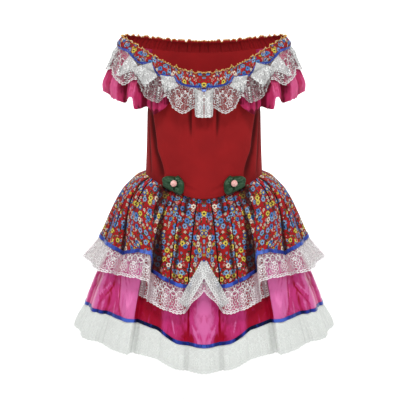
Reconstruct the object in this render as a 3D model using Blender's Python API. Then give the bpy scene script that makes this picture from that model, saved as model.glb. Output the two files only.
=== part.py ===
"""A girl's festa junina dress, filled out as it is worn, with nobody in it.

The origin is the middle of the neck opening at the height of the shoulders, +Z is up and
the front of the dress faces -Y. Tables are in millimetres and every mesh is in metres.

Each cloth is a wall through rings. A ring is given by an angle, 0 degrees at the front
middle, 90 at the side and 180 at the back middle, and by the drop below the seam that the
cloth hangs from. The left half repeats the right half.
"""
import math
from collections import namedtuple

import bmesh
import bpy
import numpy as np
from mathutils import Vector
from mathutils.bvhtree import BVHTree

MM = 0.001
SEAM = 0.3            # gap between two pieces that are sewn together
COTTON = 1.5          # wall of the bodice and of the printed overskirt
SATIN = 1.3           # wall of the sleeves and the underskirt
LACE = 1.1
RIBBON = 1.0
RIBBON_WIDTH = 7.0
CASING = 4.0          # two layers of gathered cotton with elastic between them

WAIST_SIDE = -274.0   # height of the waist seam at the sides
WAIST_DIP = 37.0      # how much lower it is at the front middle
WAIST_DIP_BACK = 12.0
WAIST_DIP_POWER = 3.6
UNDERARM = -143.0

Form = namedtuple("Form", "drop half_width half_depth squareness")
Fold = namedtuple("Fold", "waist_deg hem_deg over under lean")
Hem = namedtuple("Hem", "degrees drop")
Lace = namedtuple("Lace", "degrees length flare")
Tooth = namedtuple("Tooth", "degrees lift rise")
Share = namedtuple("Share", "share out")
Drop = namedtuple("Drop", "drop out")
Tube = namedtuple("Tube", "height half_width half_depth squareness")
Panel = namedtuple("Panel", "facing neckline_deg neckline_share")
Crease = namedtuple("Crease", "share top_share depth width reach")
Petal = namedtuple("Petal", "degrees reach spread")
Rim = namedtuple("Rim", "share lift")
Finish = namedtuple("Finish", "colour roughness metallic")

# The form that the underskirt follows, measured down from the waist seam.
SKIRT_FORM = [
    Form(0, 125.5, 95, 2.3),
    Form(10, 139, 101, 2.25),
    Form(22, 150, 106, 2.2),
    Form(45, 167, 113, 2.1),
    Form(86, 183, 123, 2.05),
    Form(131, 197, 134, 2.0),
    Form(170, 211, 146, 2.0),
    Form(216, 227, 160, 2.0),
    Form(256, 241, 176, 2.0),
    Form(296, 253, 189, 2.0),
    Form(350, 268, 203, 2.0),
]
# How far the overskirt stands out from that form.
OVERSKIRT_OFF = [Drop(0, 0), Drop(10, 5), Drop(30, 8), Drop(80, 10), Drop(170, 13)]

# Crests and valleys of the skirts from the front middle round to the back middle: the
# angle at the waist and at the hem, how far the overskirt and the underskirt stand out
# there, and how far the fold leans over towards the middle of the dress.
SKIRT_FOLDS = [
    Fold(0, 0, 14, 15, 0.0),
    Fold(6, 8.5, 2, 2, 0.05),
    Fold(13, 14, 12, 10, 0.15),
    Fold(20, 20, 7, 8, 0.3),
    Fold(24, 25, 8, 4, 0.5),
    Fold(28.5, 33.5, 0, 0, 0.8),
    Fold(35.5, 41, 32, 20, 0.9),
    Fold(47, 47, 25, 17, 0.75),
    Fold(60, 55, 5, 5, 0.5),
    Fold(69, 67, 19, 15, 0.3),
    Fold(79, 78, 8, 6, 0.1),
    Fold(90, 89, 17, 14, 0.0),
    Fold(101, 101, 7, 5, -0.1),
    Fold(112, 113, 19, 12, -0.3),
    Fold(124, 126, 5, 4, -0.5),
    Fold(135, 137, 21, 13, -0.6),
    Fold(147, 146, 4, 3, -0.5),
    Fold(157, 157, 15, 10, -0.25),
    Fold(168, 168, 5, 4, -0.1),
    Fold(180, 180, 14, 10, 0.0),
]
FOLD_SETTLES = 150.0    # drop at which a fold has reached its angle at the hem
OVER_FOLD_FULL = 165.0  # drop at which the folds reach the depth in the table
OVER_FOLD_MOST = 1.25   # below it they go on to this many times that depth
OVER_FOLD_GROWTH = 0.8
UNDERSKIRT_IN = 2.4     # the underskirt's wall lies this far inside the overskirt's top
UNDER_FOLD_START = 90.0
UNDER_FOLD_FULL = 300.0
UNDER_FOLD_MOST = 1.2
LEAN_GROWS_FROM = 105.0  # below this drop the folds lean over more and more
LEAN_GROWS_TO = 175.0
LEAN_GROWTH = 0.3

# Drop of the printed overskirt's hem. The inverted V is at the front middle, and the
# hem steps up where the fold leans over at the bow.
OVERSKIRT_HEM = [
    Hem(0, 125), Hem(8, 177), Hem(14, 175), Hem(20, 173), Hem(26, 171), Hem(30, 167),
    Hem(39, 128), Hem(46, 131), Hem(55, 153), Hem(67, 143), Hem(78, 147), Hem(90, 143),
    Hem(101, 147), Hem(113, 139), Hem(126, 147), Hem(137, 143), Hem(148, 158),
    Hem(160, 163), Hem(180, 166),
]
OVERSKIRT_LACE = [
    Lace(0, 52, 4), Lace(7.5, 36, 10), Lace(9.5, 47, 11), Lace(24, 53, 12), Lace(34, 57, 5),
    Lace(39.5, 52, 6), Lace(47, 47, 10), Lace(55, 40, 9), Lace(67, 47, 15),
    Lace(78, 44, 15), Lace(90, 46, 20), Lace(101, 45, 16), Lace(113, 50, 18),
    Lace(126, 45, 13), Lace(137, 54, 16), Lace(148, 47, 11), Lace(160, 55, 15),
    Lace(170, 50, 11), Lace(180, 56, 14),
]
UNDERSKIRT_HEM = [
    Hem(0, 294), Hem(9, 294), Hem(15, 289), Hem(24, 275), Hem(36, 274), Hem(46, 278),
    Hem(60, 286), Hem(75, 292), Hem(90, 296), Hem(120, 292), Hem(150, 286), Hem(180, 290),
]
UNDERSKIRT_LACE = [
    Lace(0, 51, 0), Lace(15, 50, 3), Lace(25, 57, 1), Lace(36, 62, 1), Lace(50, 60, 3),
    Lace(66, 56, 6), Lace(90, 53, 6), Lace(120, 56, 5), Lace(150, 58, 4), Lace(180, 56, 4),
]
OVERSKIRT_ROWS = (0.0, 0.05, 0.14, 0.3, 0.52, 0.76, 1.0)
OVERSKIRT_LACE_ROWS = (0.0, 0.45, 1.0)
UNDERSKIRT_LACE_ROWS = (0.0, 0.5, 1.0)
LACE_SEAM = 0.6         # the lace starts this far below a hem, measured square to it
STEEPEST = 1.6          # a ribbon or seam is measured square to a hem up to this slope
UNDERSKIRT_ROWS = (0.0, 0.07, 0.2, 0.42, 0.7, 1.0)
WAIST_GAP = SEAM + 0.1  # the skirts start this far below the bodice's edge
GATHER_DEPTH = 2.0      # waist gathers of the overskirt, from crest to valley
GATHER_AT_SEAM = 0.45   # share of that depth at the seam itself
GATHER_GROWS = 22.0     # drop over which they reach it in full
GATHER_FADES = 70.0
LACE_GATHER = 2.2
LACE_GATHER_FULL = 0.6  # share of the lace's length at which its gathers are full
LACE_CURL = 1.3         # the lace bends outwards more and more towards its edge
WAVE_ROOM = 11.0        # where columns are closer than this the gathers are shallower

# The neck casing: its half width and half depth at the top and the bottom edge, and the
# height of its top edge, which dips at the front and a little at the back.
NECK_TOP_WIDTH, NECK_TOP_DEPTH = 163.0, 80.0
NECK_LOW_WIDTH, NECK_LOW_DEPTH = 181.0, 93.0
NECK_HIGH = 20.0
NECK_DIP, NECK_DIP_POWER = 70.0, 2.6
NECK_DIP_BACK, NECK_DIP_BACK_POWER = 24.0, 2.0
CASING_DROP_FRONT, CASING_DROP_SIDE = 26.0, 21.0
CASING_PUFF = 2.2
UNDER_CASING = SEAM + 0.55   # what hangs from the casing starts this far below its edge
CASING_GATHER = 1.2
HEADER_FRILL = 5.0
FRILL_WAVE = 1.3        # the frill is wavier than the casing by this much

# Pleats of the neck lace: crests and the notches between them, with how far each stands
# out at the lace's lower edge and how much that edge rises there.
NECK_PLEATS = [
    Tooth(0, 24, 0), Tooth(5.2, 10, 17), Tooth(13.5, 25, 3), Tooth(19, 21, 8),
    Tooth(24, 16, 26), Tooth(29, 29, 8), Tooth(36, 30, 6), Tooth(47, 16, 26),
    Tooth(56, 30, 3), Tooth(66, 28, 6), Tooth(76, 16, 14), Tooth(87, 24, 8),
    Tooth(98, 15, 17), Tooth(110, 30, 3), Tooth(123, 16, 17), Tooth(135, 28, 4),
    Tooth(147, 14, 20), Tooth(157, 24, 4), Tooth(167, 10, 18), Tooth(180, 22, 2),
]
NECK_LACE_LENGTH = 58.0
SLEEVE_FRONT, SLEEVE_BACK = 22.7, 141.3    # angles of the ends of a flutter sleeve
SLEEVE_CLEAR = 2.2      # a sleeve's end lies this far outside the bodice
SLEEVE_TEETH = [
    Tooth(22, 4, 26), Tooth(27, 17, 6), Tooth(34, 20, 0), Tooth(41, 13, 9),
    Tooth(50, 27, 3), Tooth(58, 16, 20), Tooth(68, 31, 4), Tooth(78, 21, 8),
    Tooth(89, 34, 5), Tooth(100, 22, 9), Tooth(111, 32, 4), Tooth(121, 18, 14),
    Tooth(131, 24, 4), Tooth(142, 3, 24),
]
SLEEVE_LENGTH_FRONT, SLEEVE_LENGTH_SIDE = 74.0, 103.0
SLEEVE_ROWS = (0.0, 0.18, 0.42, 0.7, 1.0)
SLEEVE_BELLY = [Share(0, 0), Share(0.18, 0.2), Share(0.38, 0.46), Share(0.56, 0.76),
                Share(0.8, 1.0), Share(1, 0.94)]
SLEEVE_CLEAR_BY = 8.0   # fall over which the sleeve moves out to SLEEVE_CLEAR
LACE_CLEAR = 3.0        # the neck lace lies this far outside the sleeve
LACE_CLEAR_BY = 0.17    # share of the lace's length over which it moves out to that
NECK_LACE_BEND = 0.75   # below 1 the pleats open early, like a bell
NECK_LACE_ROWS = (0.0, RIBBON_WIDTH / NECK_LACE_LENGTH, 0.45, 1.0)

# The bodice's tube, from the waist to the neck. Its height is absolute.
BODICE_TUBE = [
    Tube(-311, 126, 97, 2.3),
    Tube(-274, 125.5, 95, 2.3),
    Tube(-240, 124, 93.5, 2.3),
    Tube(-200, 122.5, 94, 2.3),
    Tube(-143, 121, 95, 2.3),
    Tube(-100, 120, 92, 2.3),
    Tube(-20, 119, 88, 2.3),
]
# A panel reaches the casing this many degrees to each side of its middle, with this share
# of its width. facing is 1 for the front and -1 for the back, which is cut wider.
BODICE_PANELS = [Panel(1, 22, 0.62), Panel(-1, 38, 0.75)]
RAGLAN_SAG = 1.5        # how hollow the armhole's edge is
RAGLAN_LEAN = 0.9
TUBE_ENDS_AT = 0.45     # above this share of its height a panel leans out to the casing
BODICE_ROWS = (1.0, 0.78, 0.56, 0.34, 0.14, 0.0)
# Creases that run up from the waist seam: where they are across the panel at its foot and
# at its head, and how deep, wide and high they are.
BODICE_CREASES = [
    Crease(0.10, 0.10, 2.4, 0.045, 0.45),
    Crease(0.36, 0.42, 1.6, 0.06, 0.35),
]

BOW_DEGREES = 26.5
BOW_RAISED = 18.0       # the middle of the bow is this far above the waist seam
BOW_TILT = 16.0         # the bow leans back on the gathers below the waist
BOW_THICK = 9.0
BUD_RADIUS = 7.0
BOW_PETALS = [Petal(168, 34, 26), Petal(-65, 27, 30)]
BOW_HEART = 18.0        # radius of the bow between its petals
BOW_RIMS = [Rim(0.55, 1.0), Rim(1.0, 0.5), Rim(0.97, 0.0), Rim(0.5, 0.0)]
BOW_DIMPLE = 0.8        # the middle of the bow is pulled in to this share of its thickness
BOW_STEPS = 28
DROPPED_FROM = 40.0     # bows and buds are settled on the dress from this far outside it
SETTLED_GAP = SEAM + 0.1
BUD_SEGMENTS, BUD_RINGS = 12, 8

TURN_LENGTH = 10.0      # a bend of one radian takes as many columns as this length
OVER_QUARTER = 28       # columns in each quarter of the overskirt
UNDER_QUARTER = 22
NECK_QUARTER = 24
CASING_QUARTER = 14
BODICE_COLUMNS = 24
SLEEVE_COLUMNS = 26

CRIMSON = Finish((0.27, 0.012, 0.015), 0.8, 0.0)
PRINT = Finish((0.52, 0.012, 0.012), 0.8, 0.0)
PINK = Finish((0.6, 0.05, 0.24), 0.4, 0.0)
WHITE = Finish((0.72, 0.74, 0.7), 0.85, 0.0)
BLUE = Finish((0.03, 0.06, 0.45), 0.4, 0.0)
GREEN = Finish((0.015, 0.07, 0.03), 0.5, 0.0)
PEARL = Finish((0.9, 0.5, 0.45), 0.25, 0.0)


def smooth(xs, ys, at):
    """A smooth curve through the points (xs, ys) that never swings past them."""
    xs, ys = np.asarray(xs, float), np.asarray(ys, float)
    at = np.clip(np.asarray(at, float), xs[0], xs[-1])
    step = np.diff(xs)
    rise = np.diff(ys) / step
    slope = np.zeros_like(ys)
    same = rise[1:] * rise[:-1] > 0
    weight_a, weight_b = 2 * step[1:] + step[:-1], step[1:] + 2 * step[:-1]
    inner = np.zeros(len(rise) - 1)
    inner[same] = ((weight_a + weight_b)[same]
                   / (weight_a[same] / rise[:-1][same] + weight_b[same] / rise[1:][same]))
    slope[1:-1] = inner
    k = np.clip(np.searchsorted(xs, at, side="right") - 1, 0, len(xs) - 2)
    h = step[k]
    s = (at - xs[k]) / h
    return (ys[k] * (1 + 2 * s) * (1 - s) ** 2 + ys[k + 1] * s * s * (3 - 2 * s)
            + h * slope[k] * s * (1 - s) ** 2 - h * slope[k + 1] * s * s * (1 - s))


def column(table, name):
    """One named column of a table, as an array."""
    return np.array([getattr(row, name) for row in table], float)


def read(table, key, name, at):
    """The column called name, read smoothly where the column called key is at."""
    return smooth(column(table, key), column(table, name), at)


def rounded(degrees, half_width, half_depth, squareness):
    """Point, outward and sideways directions on a rounded plan outline."""
    angle = np.radians(degrees)
    s, c = np.sin(angle), np.cos(angle)
    size = (np.abs(s) ** squareness + np.abs(c) ** squareness) ** (1 / squareness)
    s, c = s / size, c / size
    x, y = half_width * s, -half_depth * c
    out_x = np.sign(s) * np.abs(s) ** (squareness - 1) / half_width
    out_y = -np.sign(c) * np.abs(c) ** (squareness - 1) / half_depth
    length = np.hypot(out_x, out_y)
    out_x, out_y = out_x / length, out_y / length
    return x, y, out_x, out_y


def waist_height(degrees):
    c = np.cos(np.radians(degrees))
    dip = np.where(c > 0, WAIST_DIP, WAIST_DIP_BACK)
    return WAIST_SIDE - dip * np.abs(c) ** WAIST_DIP_POWER


def fold_angle(degrees, drop):
    """The angle in the table of folds for a point at this angle and drop."""
    settled = np.clip(drop / FOLD_SETTLES, 0, 1)
    drift = np.interp(degrees, column(SKIRT_FOLDS, "waist_deg"),
                      column(SKIRT_FOLDS, "hem_deg") - column(SKIRT_FOLDS, "waist_deg"))
    return degrees + (1 - settled) * drift


def overskirt_out(degrees, drop):
    """How far the overskirt stands out from the skirt's form."""
    at = fold_angle(degrees, drop)
    grown = np.clip(drop / OVER_FOLD_FULL, 0, OVER_FOLD_MOST) ** OVER_FOLD_GROWTH
    off = read(OVERSKIRT_OFF, "drop", "out", drop)
    return off + grown * read(SKIRT_FOLDS, "hem_deg", "over", at)


def underskirt_out(degrees, drop):
    at = fold_angle(degrees, drop)
    span = UNDER_FOLD_FULL - UNDER_FOLD_START
    grown = np.clip((drop - UNDER_FOLD_START) / span, 0, UNDER_FOLD_MOST)
    return grown * read(SKIRT_FOLDS, "hem_deg", "under", at) - UNDERSKIRT_IN


def skirt_point(degrees, drop, out):
    """Points of a skirt. The fold leans by moving it sideways as far as it stands out."""
    side, turn = np.sign(degrees), np.abs(degrees)
    width = read(SKIRT_FORM, "drop", "half_width", drop)
    depth = read(SKIRT_FORM, "drop", "half_depth", drop)
    square = read(SKIRT_FORM, "drop", "squareness", drop)
    x, y, out_x, out_y = rounded(turn, width, depth, square)
    lean = read(SKIRT_FOLDS, "hem_deg", "lean", fold_angle(turn, drop))
    more = np.clip((drop - LEAN_GROWS_FROM) / (LEAN_GROWS_TO - LEAN_GROWS_FROM), 0, 1)
    lean = lean * (1 + LEAN_GROWTH * more)
    back = -lean * out
    x, y = x + out_x * out - out_y * back, y + out_y * out + out_x * back
    side = np.where(side == 0, 1, side)
    return np.stack([x * side, y, waist_height(turn) - drop], -1)


def neck_edge(degrees, low):
    """A point of the neck casing, from its top edge (low 0) to its bottom edge (low 1)."""
    c = np.cos(np.radians(degrees))
    s = np.sin(np.radians(degrees))
    dip = np.where(c > 0, NECK_DIP * np.abs(c) ** NECK_DIP_POWER,
                   NECK_DIP_BACK * np.abs(c) ** NECK_DIP_BACK_POWER)
    deep = CASING_DROP_SIDE + (CASING_DROP_FRONT - CASING_DROP_SIDE) * c * c
    width = NECK_TOP_WIDTH + (NECK_LOW_WIDTH - NECK_TOP_WIDTH) * low
    depth = NECK_TOP_DEPTH + (NECK_LOW_DEPTH - NECK_TOP_DEPTH) * low
    return np.stack([width * s, -depth * c, NECK_HIGH - dip - deep * low], -1)


def casing_frame(degrees):
    """The casing's lower edge, with the directions out of it and down along it."""
    low = neck_edge(degrees, 1.0)
    down = low - neck_edge(degrees, 0.5) - neck_outward(degrees) * CASING_PUFF
    across = neck_edge(degrees + 1, 1.0) - neck_edge(degrees - 1, 1.0)
    out = np.cross(down, across)
    down = down / np.linalg.norm(down, axis=-1, keepdims=True)
    return low, out / np.linalg.norm(out, axis=-1, keepdims=True), down


def neck_outward(degrees):
    """The level direction away from the neck ring."""
    angle = np.radians(degrees)
    out = np.stack([np.sin(angle) / NECK_LOW_WIDTH, -np.cos(angle) / NECK_LOW_DEPTH,
                    np.zeros_like(angle)], -1)
    return out / np.linalg.norm(out, axis=-1, keepdims=True)


def spread(curve, start, end, count):
    """Angles of columns, evenly along the cloth and closer together where it turns."""
    fine = np.linspace(start, end, 721)
    steps = np.diff(curve(fine), axis=0)
    lengths = np.linalg.norm(steps, axis=1)
    ways = steps / lengths[:, None]
    turns = np.arccos(np.clip((ways[1:] * ways[:-1]).sum(axis=1), -1, 1))
    effort = lengths + TURN_LENGTH * (np.append(turns, 0) + np.append(0, turns)) / 2
    along = np.concatenate([[0], np.cumsum(effort)])
    return np.interp(np.linspace(0, along[-1], count + 1), along, fine)


def quarters(curve, count):
    """Columns of the right half, with one exactly at the front, the side and the back."""
    front = spread(curve, 0, 90, count)
    back = spread(curve, 90, 180, count)
    return front, back


def whole_ring(front, back):
    """Column angles all round, from the back middle on the left to the right."""
    right = np.concatenate([front, back[1:]])
    return np.concatenate([-right[:0:-1], right])[1:]


def panels(names, front, back, ring, grid, normals, thickness, finish):
    """A front and a back panel cut from one ring of cloth at the side seams."""
    place = {round(float(angle), 6): k for k, angle in enumerate(ring)}
    angles = (np.concatenate([-front[:0:-1], front]),
              np.concatenate([back, -back[-2::-1]]))
    for name, across in zip(names, angles):
        pick = [place[round(float(angle), 6)] for angle in across]
        wall(name, panel_sides(grid[:, pick]), thickness, finish, ring=False,
             normals=normals[:len(grid), pick])


def directions(points, ring):
    """Outward direction at each point of a grid of rows and columns."""
    if ring:
        across = np.roll(points, -1, axis=1) - np.roll(points, 1, axis=1)
    else:
        across = np.gradient(points, axis=1)
    down = np.gradient(points, axis=0)
    out = np.cross(down, across)
    return out / np.linalg.norm(out, axis=-1, keepdims=True)


def wall(name, points, thickness, finish, ring=True, shift=0.0, normals=None):
    """A closed wall of even thickness round a grid of points, in millimetres.

    Rows run from the top down and columns to the right as seen from outside. shift moves
    the whole wall outwards.
    """
    if normals is None:
        normals = directions(points, ring)
    outer = points + normals * (shift + thickness / 2)
    inner = points + normals * (shift - thickness / 2)
    rows, cols = points.shape[:2]
    mesh = bmesh.new()
    skins = [[[mesh.verts.new(p * MM) for p in row] for row in skin] for skin in (outer, inner)]
    last = cols if ring else cols - 1

    def quad(a, b, c, d):
        mesh.faces.new((a, b, c))
        mesh.faces.new((a, c, d))

    for r in range(rows - 1):
        for c in range(last):
            n = (c + 1) % cols
            quad(skins[0][r][c], skins[0][r + 1][c], skins[0][r + 1][n], skins[0][r][n])
            quad(skins[1][r][c], skins[1][r][n], skins[1][r + 1][n], skins[1][r + 1][c])
    for c in range(last):
        n = (c + 1) % cols
        quad(skins[0][0][c], skins[0][0][n], skins[1][0][n], skins[1][0][c])
        quad(skins[0][-1][n], skins[0][-1][c], skins[1][-1][c], skins[1][-1][n])
    if not ring:
        for r in range(rows - 1):
            quad(skins[0][r][0], skins[1][r][0], skins[1][r + 1][0], skins[0][r + 1][0])
            quad(skins[0][r][-1], skins[0][r + 1][-1], skins[1][r + 1][-1], skins[1][r][-1])
    return finish_object(name, mesh, finish)


def finish_object(name, mesh, finish):
    data = bpy.data.meshes.new(name)
    mesh.to_mesh(data)
    mesh.free()
    data.shade_smooth()
    data.set_sharp_from_angle(angle=math.radians(50))
    item = bpy.data.objects.new(name, data)
    item.data.materials.append(material(finish))
    bpy.context.scene.collection.objects.link(item)
    return item


def material(finish):
    """The Principled material for a finish, made once."""
    name = "cloth_%d_%d_%d" % tuple(round(1000 * v) for v in finish.colour)
    found = bpy.data.materials.get(name)
    if found:
        return found
    made = bpy.data.materials.new(name)
    made.use_nodes = True
    shader = made.node_tree.nodes["Principled BSDF"]
    shader.inputs["Base Color"].default_value = (*finish.colour, 1.0)
    shader.inputs["Roughness"].default_value = finish.roughness
    shader.inputs["Metallic"].default_value = finish.metallic
    return made


def level_edge(normals, row):
    """Make one row of normals level, so that the wall's edge there is level too."""
    normals[row, :, 2] = 0
    normals[row] /= np.linalg.norm(normals[row], axis=-1, keepdims=True)
    return normals


def panel_sides(points):
    """Pull the first and last column of a panel back by half a seam."""
    moved = points.copy()
    for end, inner in ((0, 1), (-1, -2)):
        along = points[:, inner] - points[:, end]
        along = along / np.linalg.norm(along, axis=-1, keepdims=True)
        moved[:, end] = points[:, end] + along * SEAM / 2
    return moved


def steepness(hem_points):
    """Drop for each millimetre square to a hem: 1 where it is level, more where it climbs."""
    along = np.roll(hem_points, -1, axis=0) - np.roll(hem_points, 1, axis=0)
    level = np.hypot(along[:, 0], along[:, 1])
    return np.minimum(np.hypot(1, along[:, 2] / level), STEEPEST)


def zigzag(points):
    """Alternate crests and valleys along a closed row, smaller where columns are close."""
    ahead = np.linalg.norm(np.roll(points, -1, axis=0) - points, axis=1)
    room = np.minimum(ahead, np.roll(ahead, 1)) / WAVE_ROOM
    return np.where(np.arange(len(points)) % 2 == 0, 1.0, -1.0) * np.clip(room, 0, 1) ** 2


def make_overskirt():
    def hem_drop(t):
        return np.interp(t, column(OVERSKIRT_HEM, "degrees"), column(OVERSKIRT_HEM, "drop"))

    def hem_curve(t):
        return skirt_point(t, hem_drop(t), overskirt_out(t, hem_drop(t)))

    front, back = quarters(hem_curve, OVER_QUARTER)
    ring = whole_ring(front, back)
    turn = np.abs(ring)
    hem = hem_drop(turn)
    edge = skirt_point(ring, hem, overskirt_out(turn, hem))
    waves, steep = zigzag(edge), steepness(edge)
    drops = [np.maximum(hem * share, WAIST_GAP) for share in OVERSKIRT_ROWS]
    drops.insert(-1, hem - RIBBON_WIDTH * steep)
    rows = []
    for drop in drops:
        fade = np.clip(1 - drop / GATHER_FADES, 0, 1)
        grown = np.minimum(1, GATHER_AT_SEAM + (1 - GATHER_AT_SEAM) * drop / GATHER_GROWS)
        depth = GATHER_DEPTH / 2 * fade * grown
        rows.append(skirt_point(ring, drop, overskirt_out(turn, drop) + waves * depth))
    panel_rows = len(rows)
    long = read(OVERSKIRT_LACE, "degrees", "length", turn)
    flare = read(OVERSKIRT_LACE, "degrees", "flare", turn)
    for share in OVERSKIRT_LACE_ROWS:
        drop = hem + LACE_SEAM * steep + long * share
        out = (overskirt_out(turn, hem) + flare * share ** LACE_CURL
               + waves * LACE_GATHER * min(1, share / LACE_GATHER_FULL))
        rows.append(skirt_point(ring, drop, out))
    grid = np.array(rows)
    normals = level_edge(directions(grid, True), 0)
    panels(("overskirt_front", "overskirt_back"), front, back, ring, grid[:panel_rows],
           normals, COTTON, PRINT)
    ribbon = slice(panel_rows - 2, panel_rows)
    wall("overskirt_ribbon", grid[ribbon], RIBBON, BLUE,
         shift=COTTON / 2 + SEAM + RIBBON / 2, normals=normals[ribbon])
    wall("overskirt_lace", grid[panel_rows:], LACE, WHITE, normals=normals[panel_rows:])


def make_underskirt():
    def hem_curve(t):
        drop = read(UNDERSKIRT_HEM, "degrees", "drop", t)
        return skirt_point(t, drop, underskirt_out(t, drop))

    front, back = quarters(hem_curve, UNDER_QUARTER)
    ring = whole_ring(front, back)
    turn = np.abs(ring)
    hem = read(UNDERSKIRT_HEM, "degrees", "drop", turn)
    drops = [np.maximum(hem * share, WAIST_GAP) for share in UNDERSKIRT_ROWS]
    drops.insert(-1, hem - RIBBON_WIDTH)
    rows = [skirt_point(ring, drop, underskirt_out(turn, drop)) for drop in drops]
    panel_rows = len(rows)
    long = read(UNDERSKIRT_LACE, "degrees", "length", turn)
    flare = read(UNDERSKIRT_LACE, "degrees", "flare", turn)
    for share in UNDERSKIRT_LACE_ROWS:
        drop = hem + LACE_SEAM + long * share
        rows.append(skirt_point(ring, drop, underskirt_out(turn, drop) + flare * share))
    grid = np.array(rows)
    normals = level_edge(directions(grid, True), 0)
    panels(("underskirt_front", "underskirt_back"), front, back, ring, grid[:panel_rows],
           normals, SATIN, PINK)
    ribbon = slice(panel_rows - 2, panel_rows)
    wall("underskirt_ribbon", grid[ribbon], RIBBON, BLUE,
         shift=SATIN / 2 + SEAM + RIBBON / 2, normals=normals[ribbon])
    wall("underskirt_lace", grid[panel_rows:], LACE, WHITE, normals=normals[panel_rows:])


def make_casing():
    ring = np.linspace(-180, 180, 4 * CASING_QUARTER + 1)[1:]
    waves = zigzag(neck_edge(ring, 0.5)) * CASING_GATHER / 2
    out = neck_outward(ring)
    top = neck_edge(ring, 0.0)
    frill = top + np.array([0, 0, HEADER_FRILL])
    rows = [frill + out * (waves * FRILL_WAVE)[:, None],
            top + out * waves[:, None],
            neck_edge(ring, 0.5) + out * (CASING_PUFF + waves)[:, None],
            neck_edge(ring, 1.0)]
    wall("neck_casing", np.array(rows), CASING, PRINT)


def sleeve_length(turn):
    side = np.sin(np.radians(turn)) ** 2
    return SLEEVE_LENGTH_FRONT + (SLEEVE_LENGTH_SIDE - SLEEVE_LENGTH_FRONT) * side


def sleeve_out(turn, fall):
    """How far the sleeve stands out from the casing's lower edge at a fall below it."""
    lift = read(SLEEVE_TEETH, "degrees", "lift", turn)
    covered = (turn > SLEEVE_FRONT) & (turn < SLEEVE_BACK)
    out = lift * read(SLEEVE_BELLY, "share", "out", fall / sleeve_length(turn))
    clear = SLEEVE_CLEAR * np.minimum(1, fall / SLEEVE_CLEAR_BY)
    return np.where(covered, out + clear, 0.0)


def neck_lace_out(turn, share, fall):
    """The lace's own pleats, pushed out where it lies on a sleeve."""
    own = read(NECK_PLEATS, "degrees", "lift", turn) * share ** NECK_LACE_BEND
    held = sleeve_out(turn, fall) + LACE_CLEAR * min(1, share / LACE_CLEAR_BY)
    return np.maximum(own, held)


def make_neck_lace():
    def hem_curve(t):
        out = neck_lace_out(t, 1.0, NECK_LACE_LENGTH)
        return neck_edge(t, 1.0) + neck_outward(t) * out[:, None]

    ring = whole_ring(*quarters(hem_curve, NECK_QUARTER))
    turn = np.abs(ring)
    out = neck_outward(ring)
    rise = read(NECK_PLEATS, "degrees", "rise", turn)
    low, casing_out, down = casing_frame(ring)
    start = low + casing_out * (CASING - LACE) / 2 + down * UNDER_CASING
    grid = []
    for share in NECK_LACE_ROWS:
        fall = share * (NECK_LACE_LENGTH - rise * share)
        grid.append(start + out * neck_lace_out(turn, share, fall)[:, None]
                    - np.array([0, 0, 1.0]) * fall[:, None])
    grid = np.array(grid)
    normals = directions(grid, True)
    wall("neck_lace", grid, LACE, WHITE, normals=normals)
    wall("neck_ribbon", grid[:2], RIBBON, BLUE, shift=LACE / 2 + SEAM + RIBBON / 2,
         normals=normals[:2])


def make_sleeve(name, side):
    def hem_curve(t):
        return neck_edge(t, 1.0) + neck_outward(t) * sleeve_out(t, sleeve_length(t))[:, None]

    angles = spread(hem_curve, SLEEVE_FRONT, SLEEVE_BACK, SLEEVE_COLUMNS)
    out = neck_outward(angles)
    rise = read(SLEEVE_TEETH, "degrees", "rise", angles)
    low, casing_out, down = casing_frame(angles)
    start = low + down * UNDER_CASING
    rows = []
    for share in SLEEVE_ROWS:
        fall = share * (sleeve_length(angles) - rise * share)
        rows.append(start + out * sleeve_out(angles, fall)[:, None]
                    - np.array([0, 0, 1.0]) * fall[:, None])
    grid = np.array(rows)
    if side < 0:
        grid = grid[:, ::-1] * np.array([-1, 1, 1])
    wall(name, grid, SATIN, PINK, ring=False)


def bodice_surface(degrees, height):
    """Level outline of the bodice at a height."""
    width = read(BODICE_TUBE, "height", "half_width", height)
    depth = read(BODICE_TUBE, "height", "half_depth", height)
    square = read(BODICE_TUBE, "height", "squareness", height)
    x, y, out_x, out_y = rounded(degrees, width, depth, square)
    return np.stack([x, y, height], -1), np.stack([out_x, out_y, 0 * out_x], -1)


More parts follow.
